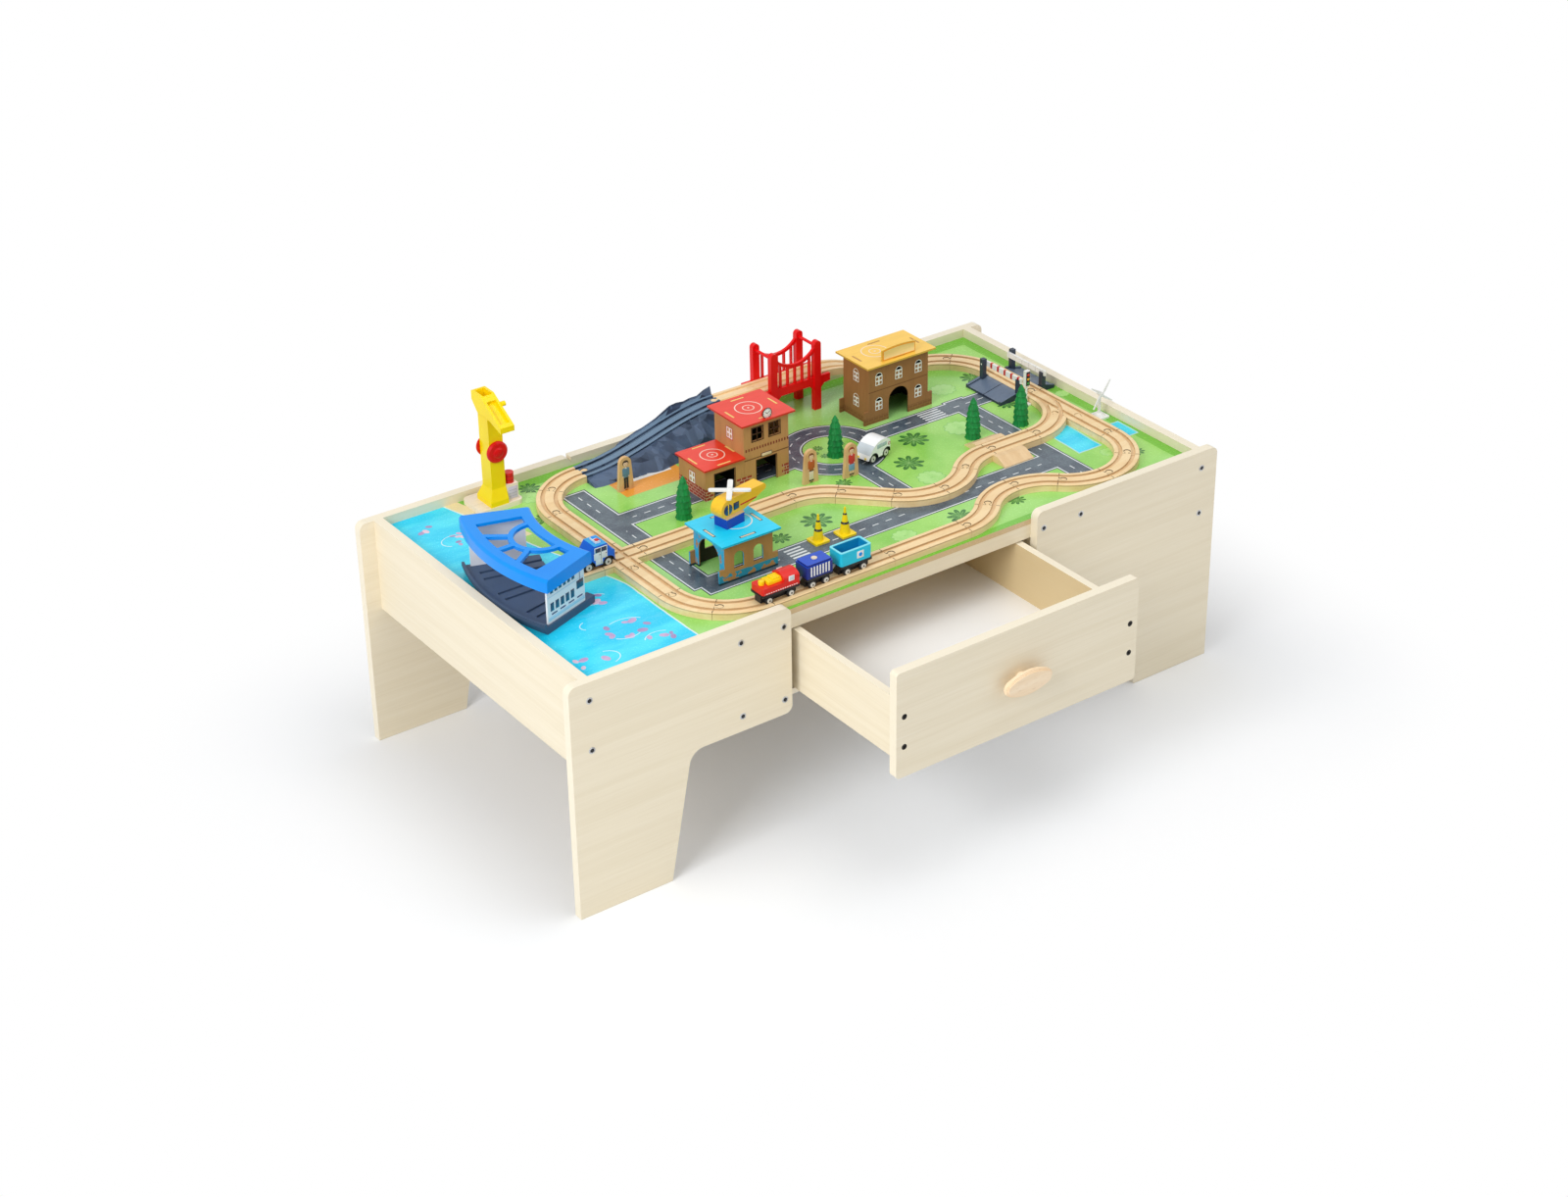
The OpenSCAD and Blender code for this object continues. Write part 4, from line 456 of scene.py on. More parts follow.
def boards(name, x, y, way, half, rows, slim=1.0):
    # thin boards on one side of a piece: x from and to, h from and to, paint, how far proud, edge
    made = []
    for x0, x1, h0, h1, paint, proud, edge in rows:
        ya, yb = sorted((y + way * (half - 0.1), y + way * (half + proud)))
        made.append(slab(name, (x + x0 * slim, ya, h0), (x + x1 * slim, yb, h1), paint, edge))
    return made


def merge(name, parts):
    fresh()
    for part in parts:
        part.select_set(True)
    bpy.context.view_layer.objects.active = parts[0]
    if len(parts) > 1:
        bpy.ops.object.join()
    piece = bpy.context.object
    piece.name = name
    bpy.ops.object.shade_smooth_by_angle(angle=math.radians(35))
    return piece


def twin(piece, place):
    # a copy with its own mesh, put in its place
    copy = piece.copy()
    copy.data = piece.data.copy()
    bpy.context.collection.objects.link(copy)
    copy.data.transform(place)
    return copy


def about(place, degrees, axis="Z"):
    pin = Matrix.Translation(place)
    return pin @ Matrix.Rotation(math.radians(degrees), 4, axis) @ pin.inverted()


def swing(parts, place, degrees):
    for part in parts:
        part.data.transform(about(place, degrees))


def clear(*pieces):
    for piece in pieces:
        bpy.data.objects.remove(piece)


def pickFront(piece):
    for face in piece.data.polygons:
        face.select = face.normal.y < -0.9


def mount(piece, body):
    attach(piece, body)
    return piece


# Wooden track and the road ramps
trackNodes = ("straight_tracks", "curved_tracks", "crossing_track", "switch_track")
dress(solidWood("trackBeech", tint(248, 221, 174), tint(240, 207, 155), groove=9.0), *trackNodes)
dress(solidWood("rampBeech", tint(238, 208, 164), tint(222, 186, 138), (60, 12, 60)), "road_ramps")

# Seams: a dark line of painted shadow in the gap where one track piece meets the next, drawn along the edges
# of the pieces themselves
seams = {"top": 12.0, "pegDrop": 0.9, "reach": 1.1, "step": 0.5, "line": 0.55, "sunk": 0.42,
         "shade": tint(66, 42, 24)}


def trackSeams(kit):
    fresh()
    copies = []
    for name in trackNodes:
        copy = bpy.data.objects.new("trackSeams", nodes[name].data.copy())
        bpy.context.collection.objects.link(copy)
        copies.append(copy)
    mesh = merge("trackSeams", copies).data
    edit(False)
    bpy.ops.mesh.select_mode(type="EDGE")
    bpy.ops.mesh.select_all(action="SELECT")
    bpy.ops.mesh.remove_doubles(threshold=0.00001)
    bpy.ops.mesh.select_all(action="DESELECT")
    bpy.ops.mesh.edges_select_sharp(sharpness=math.radians(40))
    leave()
    group = list(range(len(mesh.vertices)))      # which track piece a vertex belongs to

    def root(i):
        while group[i] != i:
            group[i] = group[group[i]]
            i = group[i]
        return i
    for edge in mesh.edges:
        a, b = edge.vertices
        group[root(a)] = root(b)
    high, low = spot(0, 0, kit["top"]).z, spot(0, 0, kit["top"] - kit["pegDrop"]).z
    ends = {edge.index: [mesh.vertices[i].co for i in edge.vertices] for edge in mesh.edges if edge.select}
    ends = {index: pair for index, pair in ends.items() if all(low < v.z < high + 0.0001 for v in pair)}
    marks = []
    for index, (a, b) in ends.items():
        steps = max(1, int((b - a).length / (kit["step"] / 1000)))
        piece = root(mesh.edges[index].vertices[0])
        marks += [(a.lerp(b, i / steps), piece) for i in range(steps + 1)]
    tree = KDTree(len(marks))
    for i, (place, piece) in enumerate(marks):
        tree.insert(place, i)
    tree.balance()
    for edge in mesh.edges:
        pair = ends.get(edge.index)
        edge.select = False
        if pair and all(v.z > high - 0.0001 for v in pair):
            piece, middle = root(edge.vertices[0]), (pair[0] + pair[1]) / 2
            close = tree.find_range(middle, kit["reach"] / 1000)
            edge.select = any(marks[i][1] != piece for _, i, _ in close)
    edit(False)
    bpy.ops.mesh.select_all(action="INVERT")
    bpy.ops.mesh.delete(type="EDGE")
    bpy.ops.mesh.select_all(action="SELECT")
    bpy.ops.mesh.delete_loose(use_verts=True, use_edges=False, use_faces=False)
    leave()
    bpy.ops.object.convert(target="CURVE")
    curve = bpy.context.object.data
    curve.bevel_depth = kit["line"] / 1000
    curve.bevel_resolution = 1
    curve.use_fill_caps = True
    bpy.ops.object.convert(target="MESH")
    seam = bpy.context.object
    seam.data.transform(Matrix.Translation((0, 0, -kit["sunk"] / 1000)))
    # the dark line is painted shadow in the gap between the track pieces
    settle(seam, "trackSeams", moulded("gapShadowPaint", kit["shade"], 0.7))
    mount(merge("trackSeams", [seam]), "table")


trackSeams(seams)

# Rock ramp: broken faces in three tones, with painted light and shade on random facets and painted light on
# faces turned up, and a grooved way on top with painted shade in its grooves
rockRamp = {"way": 240, "wayHalf": 20.5, "groove": 10, "grooveHalf": 3.2, "edgeHalf": 0.8}


def slateRock(kit):
    p = Paint("slateRock")
    cloud = p.noise(24.0, 5, 0.65)
    chip = p.noise(120.0, 4, 0.7, (3, 1, 4))
    up = p.facing("z")
    color = p.over(tint(60, 78, 106), cloud.soft(0.35, 0.65), tint(42, 54, 76))
    color = p.over(color, chip.soft(0.58, 0.74) * 0.3, tint(96, 112, 136))
    where = p.add("ShaderNodeMapping", None, {"Vector": p.place, "Scale": (44, 44, 60)})
    facet = p.add("ShaderNodeTexVoronoi", None, {"Vector": where, "Scale": 1.0}, out="Color")
    # painted light and shade: random facets painted paler as if lit and darker as if shaded
    color = p.over(color, (facet > 0.62) * 0.45, tint(98, 118, 146))
    color = p.over(color, (facet < 0.38) * 0.5, tint(26, 36, 54))
    # painted light: faces turned up are painted lighter
    color = p.over(color, up.soft(0.25, 0.75) * 0.4, tint(96, 116, 144))
    bed = p.y.near(kit["way"], kit["wayHalf"]) & (up > 0.35)
    grooves = abs(abs(p.y - kit["way"]) - kit["groove"]).near(kit["grooveHalf"], kit["edgeHalf"])
    color = p.over(color, bed * 0.85, tint(112, 138, 162))
    # painted shade in the grooves of the way
    color = p.over(color, bed & grooves, tint(30, 38, 52))
    return p.done(color, 0.46 + chip * 0.2, p.bump(chip * 0.7 + cloud, 0.45, 0.0012))


winchRed = moulded("winchRed", tint(226, 16, 18), 0.25, 0.08)
shedBlue = moulded("shedBlue", tint(0, 144, 242), 0.24, 0.08, shade=tint(0, 124, 230))
dress(slateRock(rockRamp), "rock_ramp")
dress(moulded("bridgeRed", tint(236, 10, 16), 0.28, 0.08), "bridge_frame")
dress(winchRed, "crane_winch")
dress(moulded("slatePlastic", tint(72, 90, 116), 0.38, grain=600), "shed_base")
dress(shedBlue, "shed_roof")
dress(moulded("wallWhite", tint(238, 240, 244), 0.3), "shed_walls")
dress(moulded("plainWhite", tint(240, 240, 238), 0.34), "turbine_mast", "turbine_rotor", "helicopter_rotor")
dress(moulded("craneYellow", tint(252, 222, 10), 0.24, 0.08, shade=tint(240, 190, 0)),
      "crane_tower", "crane_jib")


def masked(name, base, zones, rough=0.3, grime=0.16):
    # one solid in several paints: zones is a list of (mask, colour) drawn in order
    p = Paint(name)
    brush = p.noise((30, 240, 240), 4, 0.6)
    wear = p.noise(55.0, 4, 0.6)
    color = base
    for zone, shade in zones:
        color = p.over(color, zone(p), shade)
    color = p.over(color, brush.soft(0.45, 0.8) * grime, tint(20, 20, 24))
    color = p.over(color, wear.soft(0.66, 0.8) * 0.10, tint(255, 255, 255))
    return p.done(color, rough + brush * 0.15, p.bump(brush, 0.08, 0.0002), coat=0.12, coatRough=0.15)


def wheelArch(cx, cy, turn, rise, axle):
    # black under the body and round the wheels of a car, partly a black underside and partly painted shade
    # under the car; its axles stand at one distance on both sides of its middle
    def mask(p):
        c, s = math.cos(math.radians(turn)), math.sin(math.radians(turn))
        along = (p.x - cx) * c + (p.y - cy) * s
        dark = p.h < rise + 0.2
        for at in (-axle, axle):
            dark = dark | (radial(along - at, p.h - rise) < 10.5)
        return dark
    return mask


sootBlack = tint(30, 30, 34)
steelGrey = tint(168, 168, 172)
barrierWhite = tint(242, 242, 240)
underframe = (lambda p: p.h < 28.3, sootBlack)

dress(masked("craneCream", tint(242, 228, 208), [
    (lambda p: p.h > 35.2, tint(214, 24, 22)),
    (lambda p: p.h.near(40, 0.7) | p.h.near(47, 0.7), tint(176, 12, 14))]), "crane_base")
dress(masked("nearBarrierPaint", barrierWhite, [
    (lambda p: p.y.every(17.0, 0.3, 4.0) & (p.y < 119), tint(206, 26, 26))]), "near_barrier")
dress(masked("farBarrierPaint", barrierWhite, [
    (lambda p: p.y.every(17.0, 0.08, 4.0), tint(222, 222, 220))]), "far_barrier")
dress(masked("signPaint", tint(250, 218, 20), [
    (lambda p: p.h.near(20.2, 1.6), sootBlack), (lambda p: p.h.near(34.6, 1.3), sootBlack),
    (lambda p: p.x > 400, tint(240, 240, 238))]), "road_signs")
dress(masked("helicopterPaint", tint(250, 196, 40), [
    (lambda p: p.h < 86.5, tint(226, 186, 128)), (lambda p: p.h < 82.2, tint(20, 62, 170)),
    (lambda p: p.h > 112.2, tint(238, 238, 236))]), "helicopter_body")
dress(masked("rampPaint", tint(46, 58, 76), [
    (lambda p: (p.facing("z") > 0.6) & (p.h < 12.6), tint(98, 114, 136)),
    (lambda p: p.y.near(85, 0.7) & (p.h < 12), tint(20, 26, 36))]), "crossing_ramps")
dress(masked("locoPaint", tint(222, 30, 22), [
    (lambda p: (p.h > 38.9) & (p.x < -221), tint(254, 220, 22)),
    (lambda p: p.h.near(29.9, 0.7) & p.x.every(4.0, 0.62) & p.x.within(-254, -197), tint(244, 244, 240)),
    underframe, (lambda p: p.x > -193.9, steelGrey)]), "loco_body")
dress(masked("boxWagonPaint", tint(26, 44, 132), [
    (lambda p: p.x.every(5.2, 0.5, -173.9) & p.x.near(-157, 16.9) & p.h.within(31, 46.4)
     & (abs(p.facing("y")) > 0.5), tint(240, 242, 244)),
    (lambda p: (p.h > 47.1) & p.top(), tint(24, 78, 196)), (lambda p: p.h > 50.3, tint(230, 214, 190)),
    underframe, (lambda p: abs(p.x + 157) > 23.1, steelGrey)]), "box_wagon_body")
dress(masked("hopperPaint", tint(24, 200, 236), [
    (lambda p: p.h > 49.4, tint(126, 226, 242)),
    # painted shade: the hopper's inner walls are a darker copy of its blue
    (lambda p: p.h.within(33, 49.4) & p.x.near(-92, 24.7) & p.y.near(-258, 11.7), tint(18, 150, 200)),
    underframe, (lambda p: p.x < -120.1, steelGrey)]), "hopper_wagon_body")
dress(masked("patrolPaint", tint(4, 108, 226), [
    (lambda p: (p.h > 50) & p.top(), tint(34, 166, 232)), (lambda p: p.h > 50.4, tint(230, 240, 246)),
    (wheelArch(-383, -24, 0, 17.7, 16.5), sootBlack)]), "patrol_car_body")
dress(masked("whiteCarPaint", tint(249, 251, 252), [
    (lambda p: p.facing("z").near(0.62, 0.2) & (p.x < 152), tint(206, 216, 224)),
    (wheelArch(161, 18, 13, 8.7, 15.5), sootBlack)], grime=0.03), "white_car_body")
dress(masked("wheelBlack", sootBlack, [
    (lambda p: p.noise(180.0, 2) > 0.66, tint(52, 52, 56))], rough=0.35),
    *[name for name in nodes if name.endswith("_wheels")])


# Printed plywood
def plywood(name, base, zones, rooms):
    # rooms are painted dark inside, painted shade up to a height: middle in x and y, half length in x and y,
    # height
    p = Paint(name)
    grain = p.noise((40, 40, 9), 5, 0.62)
    fibre = p.noise((260, 260, 40), 3, 0.6, (2, 7, 5))
    color = p.over(base, grain.soft(0.35, 0.7) * 0.5, darker(base, 0.7))
    color = p.over(color, fibre.soft(0.55, 0.75) * 0.25, darker(base, 0.5))
    for zone, shade in zones:
        color = p.over(color, zone(p), shade)
    for cx, cy, halfX, halfY, top in rooms:
        # painted shade inside the rooms
        color = p.over(color, p.x.near(cx, halfX) & p.y.near(cy, halfY) & (p.h < top), tint(38, 28, 22))
    relief = p.bump(grain * 0.5 + fibre, 0.2, 0.0003)
    return p.done(color, 0.45 + fibre * 0.2, relief, coat=0.08, coatRough=0.4)


brick = {"tall": 5.0, "wide": 10.0, "corners": (-131, -59, 26), "short": 9, "longer": 5, "top": 20}


def bricks(p):
    across = abs(p.facing("x")) > 0.5
    along = p.y * across + p.x * (1 - across)
    row = p.h / brick["tall"]
    run = along / brick["wide"] + row.calc("FLOOR") * 0.5
    return (row.calc("FRACT") > 0.18) & (run.calc("FRACT") > 0.1)


def redCorners(p):
    # courses of brick at the corners, every second one longer
    step = (p.h / brick["tall"]).calc("FLOOR") * 0.5
    reach = brick["short"] + (step.calc("FRACT") > 0.25) * brick["longer"]
    left, middle, right = (p.x.near(x, reach) for x in brick["corners"])
    return (left | middle | right) & (p.h < brick["top"])


def roofPrint(name, base, rings, slots=()):
    # rings: middle, radius, the heights that they lie between; slots: middle, half lengths
    p = Paint(name)
    grain = p.noise((16, 120, 120), 5, 0.6)
    color = p.over(base, grain.soft(0.35, 0.7) * 0.3, darker(base, 0.8))
    top = p.top()
    for cx, cy, radius, low, high in rings:
        reach = radial(p.x - cx, p.y - cy)
        mark = reach.near(radius, 0.9) | reach.near(radius * 0.42, 0.8) | (reach < 1.8)
        color = p.over(color, (mark & top & p.h.within(low, high)) * 0.9, tint(246, 226, 208))
    for cx, cy, halfX, halfY in slots:      # a dark cut round each tab
        color = p.over(color, p.x.near(cx, halfX) & p.y.near(cy, halfY) & top, tint(30, 62, 70))
    # painted shade: the side faces of the roof are a darker copy of its colour
    color = p.over(color, (abs(p.facing("z")) < 0.5) * 0.6, darker(base, 0.55))
    return p.done(color, 0.3 + grain * 0.15, p.bump(grain, 0.1, 0.0003), coat=0.25, coatRough=0.2)


dress(plywood("redStationWalls", tint(194, 144, 90), [
    (redCorners, tint(206, 176, 150)), (lambda p: redCorners(p) & bricks(p), tint(158, 54, 42)),
    (lambda p: p.h.near(63, 2.4) & (p.x > -58) & (p.x + p.y).every(5.2, 0.55), tint(128, 56, 40)),
    (lambda p: p.h.near(46.5, 1.0) & (p.x > -58) & (p.y < 57), tint(120, 80, 46)),
    (lambda p: (p.h.near(55, 0.3) | p.h.near(111, 0.3)) & p.top(), tint(244, 204, 120))],
    [(-95, 92, 34, 34.5, 52), (-16.8, 95, 40.5, 37.5, 52)]), "red_station_walls")
dress(roofPrint("redRoofPrint", tint(236, 52, 28), [(-93, 92, 19, 50, 60), (-20, 98, 21, 105, 115)]),
      "red_station_roofs")
dress(plywood("blueStationWalls", tint(184, 132, 80), [
    (lambda p: (abs(p.facing("x")) > 0.5) & p.noise((90, 90, 60), 3, 0.7).soft(0.4, 0.5), tint(52, 168, 214)),
    (lambda p: (p.h < 15) & (p.y < -168) & (p.noise((70, 70, 120), 2, 0.6, (4, 2, 8)) > 0.47),
     tint(40, 140, 176)),
    (lambda p: p.h < 3.4, tint(24, 58, 66)), (lambda p: p.h.near(61.5, 1.2), tint(36, 150, 200)),
    (lambda p: p.h > 66.8, tint(222, 206, 178))], [(-210, -131, 41.2, 37.2, 50)]), "blue_station_walls")
dress(roofPrint("cyanRoofPrint", tint(22, 212, 250), [(-200, -122, 25, 60, 70)],
                [(-210, -168.5, 14, 2.6), (-168.5, -131, 2.6, 14), (-251.5, -131, 2.6, 14),
                 (-210, -93.5, 14, 2.6)]), "blue_station_roof")
dress(plywood("yellowStationWalls", tint(160, 112, 66), [
    (lambda p: (p.h < 12) & bricks(p), tint(132, 88, 50)),
    (lambda p: p.h.near(56.5, 0.8) & (p.y < 115), tint(118, 76, 42)),
    (lambda p: p.h > 98, tint(192, 140, 78))], [(286, 148, 58.5, 32.5, 102)]), "yellow_station_walls")
dress(roofPrint("amberRoofPrint", tint(253, 205, 84), [(268, 154, 22, 98, 110)]), "yellow_station_roof")
dress(solidWood("printedBeech", tint(226, 186, 132), tint(204, 158, 104), (60, 60, 14)), "figures")
print("train table: track, buildings and vehicles painted")

# Windows: a frame of panes, modelled facing the front with its lower middle at the origin
windowBoard = {"thick": 0.6, "paneSunk": 0.2, "archSunk": 0.1}


def paneWindow(name, wide, tall, frameWide, framePaint, panePaint, arched=False, panes=(2, 2)):
    thick, top = windowBoard["thick"] / 1000, tall / 1000

    def glaze(piece):
        piece.active_material_index = 1
        bpy.ops.object.material_slot_assign()
    fresh()
    bpy.ops.mesh.primitive_grid_add(x_subdivisions=panes[0], y_subdivisions=panes[1], size=1,
                                    rotation=faceTurn["y"], location=(0, 0, top / 2))
    piece = bpy.context.object
    piece.scale = (wide / 1000, top, 1)
    settle(piece, name, framePaint)
    piece.data.materials.append(panePaint)
    edit()
    bpy.ops.mesh.inset(thickness=frameWide / 1000, depth=0, use_individual=True)
    glaze(piece)
    bpy.ops.mesh.inset(thickness=0.00002, depth=-windowBoard["paneSunk"] / 1000, use_individual=True)
    leave()
    thicken = piece.modifiers.new("board", "SOLIDIFY")
    thicken.thickness = thick
    thicken.offset = -1
    bpy.ops.object.modifier_apply(modifier=thicken.name)
    if not arched:
        return merge(name, [piece])
    fresh()
    bpy.ops.mesh.primitive_cylinder_add(vertices=32, radius=wide / 2000, depth=thick,
                                        rotation=faceTurn["y"], location=(0, thick / 2, top))
    cap = settle(bpy.context.object, name + "Arch", framePaint)
    cap.data.materials.append(panePaint)
    edit()
    bpy.ops.mesh.bisect(plane_co=(0, 0, top), plane_no=(0, 0, 1), use_fill=True, clear_inner=True)
    bpy.ops.mesh.select_all(action="DESELECT")
    leave()
    pickFront(cap)
    edit(False)
    bpy.ops.mesh.inset(thickness=frameWide / 1000, depth=-windowBoard["archSunk"] / 1000)
    glaze(cap)
    leave()
    return merge(name, [piece, cap])


def hang(window, x, y, h, faces):
    # a copy of a window on a wall, its lower middle at x, y, h
    turn = {"front": 0, "left": -90, "back": 180, "right": 90}[faces]
    return twin(window, Matrix.Translation(spot(x, y, h)) @ Matrix.Rotation(math.radians(turn), 4, "Z"))


# Red station: windows, brown frames round the open ones, a bare sign, dark door edges and the clock
redStation = {
    "window": (15, 18), "frame": 1.6, "border": 1.3, "borderFrame": 1.4,
    "windows": [(-131.1, 92, 20, "left"), (-58.9, 94, 72, "left"), (25.3, 78, 72, "right"),
                (25.3, 112, 72, "right"), (-95, 128.1, 20, "back"), (25.3, 95, 20, "right")],
    # boxes as two corners, with x from the middle of the opening
    "openings": (-33, -1),
    "openFrame": [((-11.6, 55.5, 74.6), (11.6, 56.2, 76)), ((-11.6, 55.5, 98), (11.6, 56.2, 99.4)),
                  ((-11.6, 55.5, 75.4), (-10, 56.2, 98.6)), ((10, 55.5, 75.4), (11.6, 56.2, 98.6)),
                  ((-0.7, 56.6, 75.4), (0.7, 58.2, 98.6)), ((-10.4, 56.6, 86.2), (10.4, 58.2, 87.6))],
    "doors": (-95, -16.8),
    "doorEdge": [((-19.9, 55.6, 0.2), (-18.9, 56.1, 42.6)), ((18.9, 55.6, 0.2), (19.9, 56.1, 42.6)),
                 ((-19.9, 55.6, 41.9), (19.9, 56.1, 42.8))],
    "sign": ((-27, 55.2, 45.4), (-6.6, 56.1, 51.6)), "signFace": ((-26, 54.9, 46.2), (-7.6, 55.4, 50.8)),
    "signTone": tint(228, 206, 168),
    "clock": (-16.8, 52.4, 118.6), "clockRadius": 8.2, "hands": ((0.5, 0.45, 305), (0.68, 0.32, 62)),
}


def redStationTrim(kit):
    wide, tall = kit["window"]
    rim = kit["border"]
    window = paneWindow("redWindow", wide, tall, kit["frame"], frameWhite, paleGlass)
    border = paneWindow("redBorder", wide + 2 * rim, tall + 2 * rim, kit["borderFrame"], redTrim, frameWhite,
                        panes=(1, 1))
    border.data.transform(Matrix.Translation((0, 0.00005, -rim / 1000)))
    window = merge("redWindow", [window, border])
    parts = [hang(window, *place) for place in kit["windows"]]
    clear(window)

    def frames(name, middles, boxes):
        return [slab(name, (x + low[0], *low[1:]), (x + high[0], *high[1:]), darkPly, 0.1)
                for x in middles for low, high in boxes]
    parts += frames("openFrame", kit["openings"], kit["openFrame"])
    parts.append(slab("garageSign", *kit["sign"], darkPly, 0.25))
    parts.append(slab("garageSignFace", *kit["signFace"], painted("signCream", kit["signTone"]), 0.1))
    parts += frames("doorEdge", kit["doors"], kit["doorEdge"])
    mount(merge("redStationTrim", parts), "table")


def redStationClock(kit):
    x, y, h = kit["clock"]
    radius = kit["clockRadius"]
    face = [disc("clockFace", (x, y, h), radius, 0.6, "y", frameWhite, 0.15, 40),
            hoop("clockRim", (x, y - 0.2, h), radius, 0.55, "y", black, 1.2)]
    # hour marks and hands: half width, depth from and to, length from and to, edge, turn
    bars = [(0.25, 0.55, 0.2, radius * 0.72, radius * 0.88, 0.05, hour * 30) for hour in range(12)]
    bars += [(half, 0.75, 0.5, -0.6, radius * length, 0.08, turn) for length, half, turn in kit["hands"]]
    for half, near, far, start, end, edge, turn in bars:
        bar = slab("clockBar", (x - half, y - near, h + start), (x + half, y - far, h + end), black, edge)
        bar.data.transform(about(spot(x, y, h), turn, "Y"))
        face.append(bar)
    face.append(disc("clockBoss", (x, y - 0.7, h), 0.7, 0.4, "y", black, 0.1, 16))
    mount(merge("redStationClock", face), "table")


redStationTrim(redStation)
redStationClock(redStation)

# Yellow station: arched windows, and a bare arched sign with its border
yellowStation = {
    "window": (14, 15), "frame": 1.2, "rows": (22, 66), "columns": (246, 286, 326), "middle": (286, 148),
    "front": 113.9, "back": 182.1, "left": 225.9, "right": 346.1, "overDoor": (286, 22),
    "signRadius": 187, "signHub": (113.75, -61.5), "signThick": 0.7, "signHalf": 32, "signFoot": 106.4,
    "signBorder": 1.4, "signTone": tint(240, 158, 40), "signFace": tint(252, 224, 150),
}


def yellowStationTrim(kit):
    middle, across = kit["middle"]
    low, high = kit["rows"]
    window = paneWindow("archWindow", *kit["window"], kit["frame"], frameWhite, paleGlass, True)
    places = [(x, kit["front"], h, "front") for h in (high, low) for x in kit["columns"]
              if (x, h) != kit["overDoor"]]
    places += [(kit[side], across, h, side) for side in ("left", "right") for h in (low, high)]
    places += [(x, kit["back"], h, "back") for x in kit["columns"] for h in (low, high)]
    parts = [hang(window, *place) for place in places]
    clear(window)
    mount(merge("yellowStationWindows", parts), "table")
    fresh()
    bpy.ops.mesh.primitive_cylinder_add(vertices=360, radius=kit["signRadius"] / 1000,
                                        depth=kit["signThick"] / 1000, rotation=faceTurn["y"],
                                        location=spot(middle, *kit["signHub"]))
    sign = settle(bpy.context.object, "archedSign", painted("signAmber", kit["signTone"]))
    sign.data.materials.append(painted("signFace", kit["signFace"]))
    edit(False)
    foot, half = kit["signFoot"], kit["signHalf"]
    for x, way in ((middle, (0, 0, 1)), (middle - half, (1, 0, 0)), (middle + half, (-1, 0, 0))):
        bpy.ops.mesh.select_all(action="SELECT")
        bpy.ops.mesh.bisect(plane_co=spot(x, across, foot), plane_no=way, use_fill=True, clear_inner=True)
    leave()
    pickFront(sign)
    edit(False)
    bpy.ops.mesh.select_mode(type="FACE")
    bpy.ops.mesh.inset(thickness=kit["signBorder"] / 1000, depth=0.0)
    sign.active_material_index = 1
    bpy.ops.object.material_slot_assign()
    bpy.ops.mesh.inset(thickness=0.0003, depth=-0.0002)
    leave()
    mount(merge("yellowStationSign", [sign]), "table")


yellowStationTrim(yellowStation)

# Engine shed: printed windows and bands on both end walls
engineShed = {
    "hub": (-228.0, -24.0), "wallTurn": 19.544, "half": 1.65, "proud": 0.25,
    # how many, their step, x from and to along the wall, h from and to, paint
    "print": [(6, 9.6, 256, 262, 58, 64.5, glassBlue), (5, 11.4, 258, 265.4, 30, 43, glassBlue),
              (1, 0, 237, 252, 38, 51, glassBlue), (1, 0, 244, 244.8, 51, 68, navy),
              (1, 0, 235.5, 316.5, 17, 22, "sky"), (1, 0, 235.5, 316.5, 53, 54, "sky"),
              (4, 19, 240, 252, 24, 26, navy)],
    "sky": tint(186, 218, 238),
}


def shedTrim(kit):
    x, y = kit["hub"]
    sky = painted("shedSky", kit["sky"])
    rows = [(x0 + i * step, x1 + i * step, h0, h1, sky if paint == "sky" else paint, kit["proud"], 0.1)
            for count, step, x0, x1, h0, h1, paint in kit["print"] for i in range(count)]
    for side, name in ((1, "shedFrontPrint"), (-1, "shedBackPrint")):
        parts = boards(name, x, y, side, kit["half"], rows)
        swing(parts, spot(x, y), 180 + side * kit["wallTurn"])
        mount(merge(name, parts), "table")


shedTrim(engineShed)

# Crane: rims and bosses on the winch knobs, and a panel on the loading block
crane = {"winch": (-390.0, 244.0, 96.0), "rimOut": 17.5, "rimRadius": 14.4, "rimWire": 1.5,
         "bossOut": 21.4, "bossRadius": 5.2, "panel": ((-376, 227.6, 11), (-359.4, 228.1, 31)),
         "lines": (15, 20, 25), "panelTone": tint(214, 202, 224), "lineTone": tint(186, 178, 198)}


def craneTrim(kit):
    x, y, h = kit["winch"]
    for way, name in ((-1, "Front"), (1, "Back")):
        rim, boss = ((x, y + way * kit[key], h) for key in ("rimOut", "bossOut"))
        knob = [hoop("knobRim", rim, kit["rimRadius"], kit["rimWire"], "y", winchRed, 1.3),
                disc("knobBoss", boss, kit["bossRadius"], 2.0, "y", winchRed, 0.6)]
        mount(merge("winchKnob" + name, knob), "winch")
    parts = [slab("blockPanel", *kit["panel"], painted("lilacPanel", kit["panelTone"]), 0.2)]
    grey = painted("panelGrey", kit["lineTone"])
    parts += [slab("blockLine", (-374.5, 227.3, h), (-361, 227.8, h + 1.0), grey, 0.1) for h in kit["lines"]]
    mount(merge("loadingPanel", parts), "table")


craneTrim(crane)

# Traffic light: a black plate with three lamps on both faces, and hoods on the front
trafficLight = {"at": (474.8, 18.0), "plateHalf": 3.7, "plateFoot": 36, "plateTop": 60.4, "lampRadius": 2.6,
                "lamps": [("lampRed", 55.6, tint(222, 34, 26)), ("lampAmber", 48.2, tint(250, 188, 26)),
                          ("lampGreen", 40.8, tint(30, 158, 70))]}


def lampPaint(name, color):
    p = Paint(name)
    mottle = p.noise(300.0, 2).soft(0.5, 0.8)
    return p.done(p.over(color, mottle * 0.3, darker(color, 0.7)), 0.12, coat=1.0)


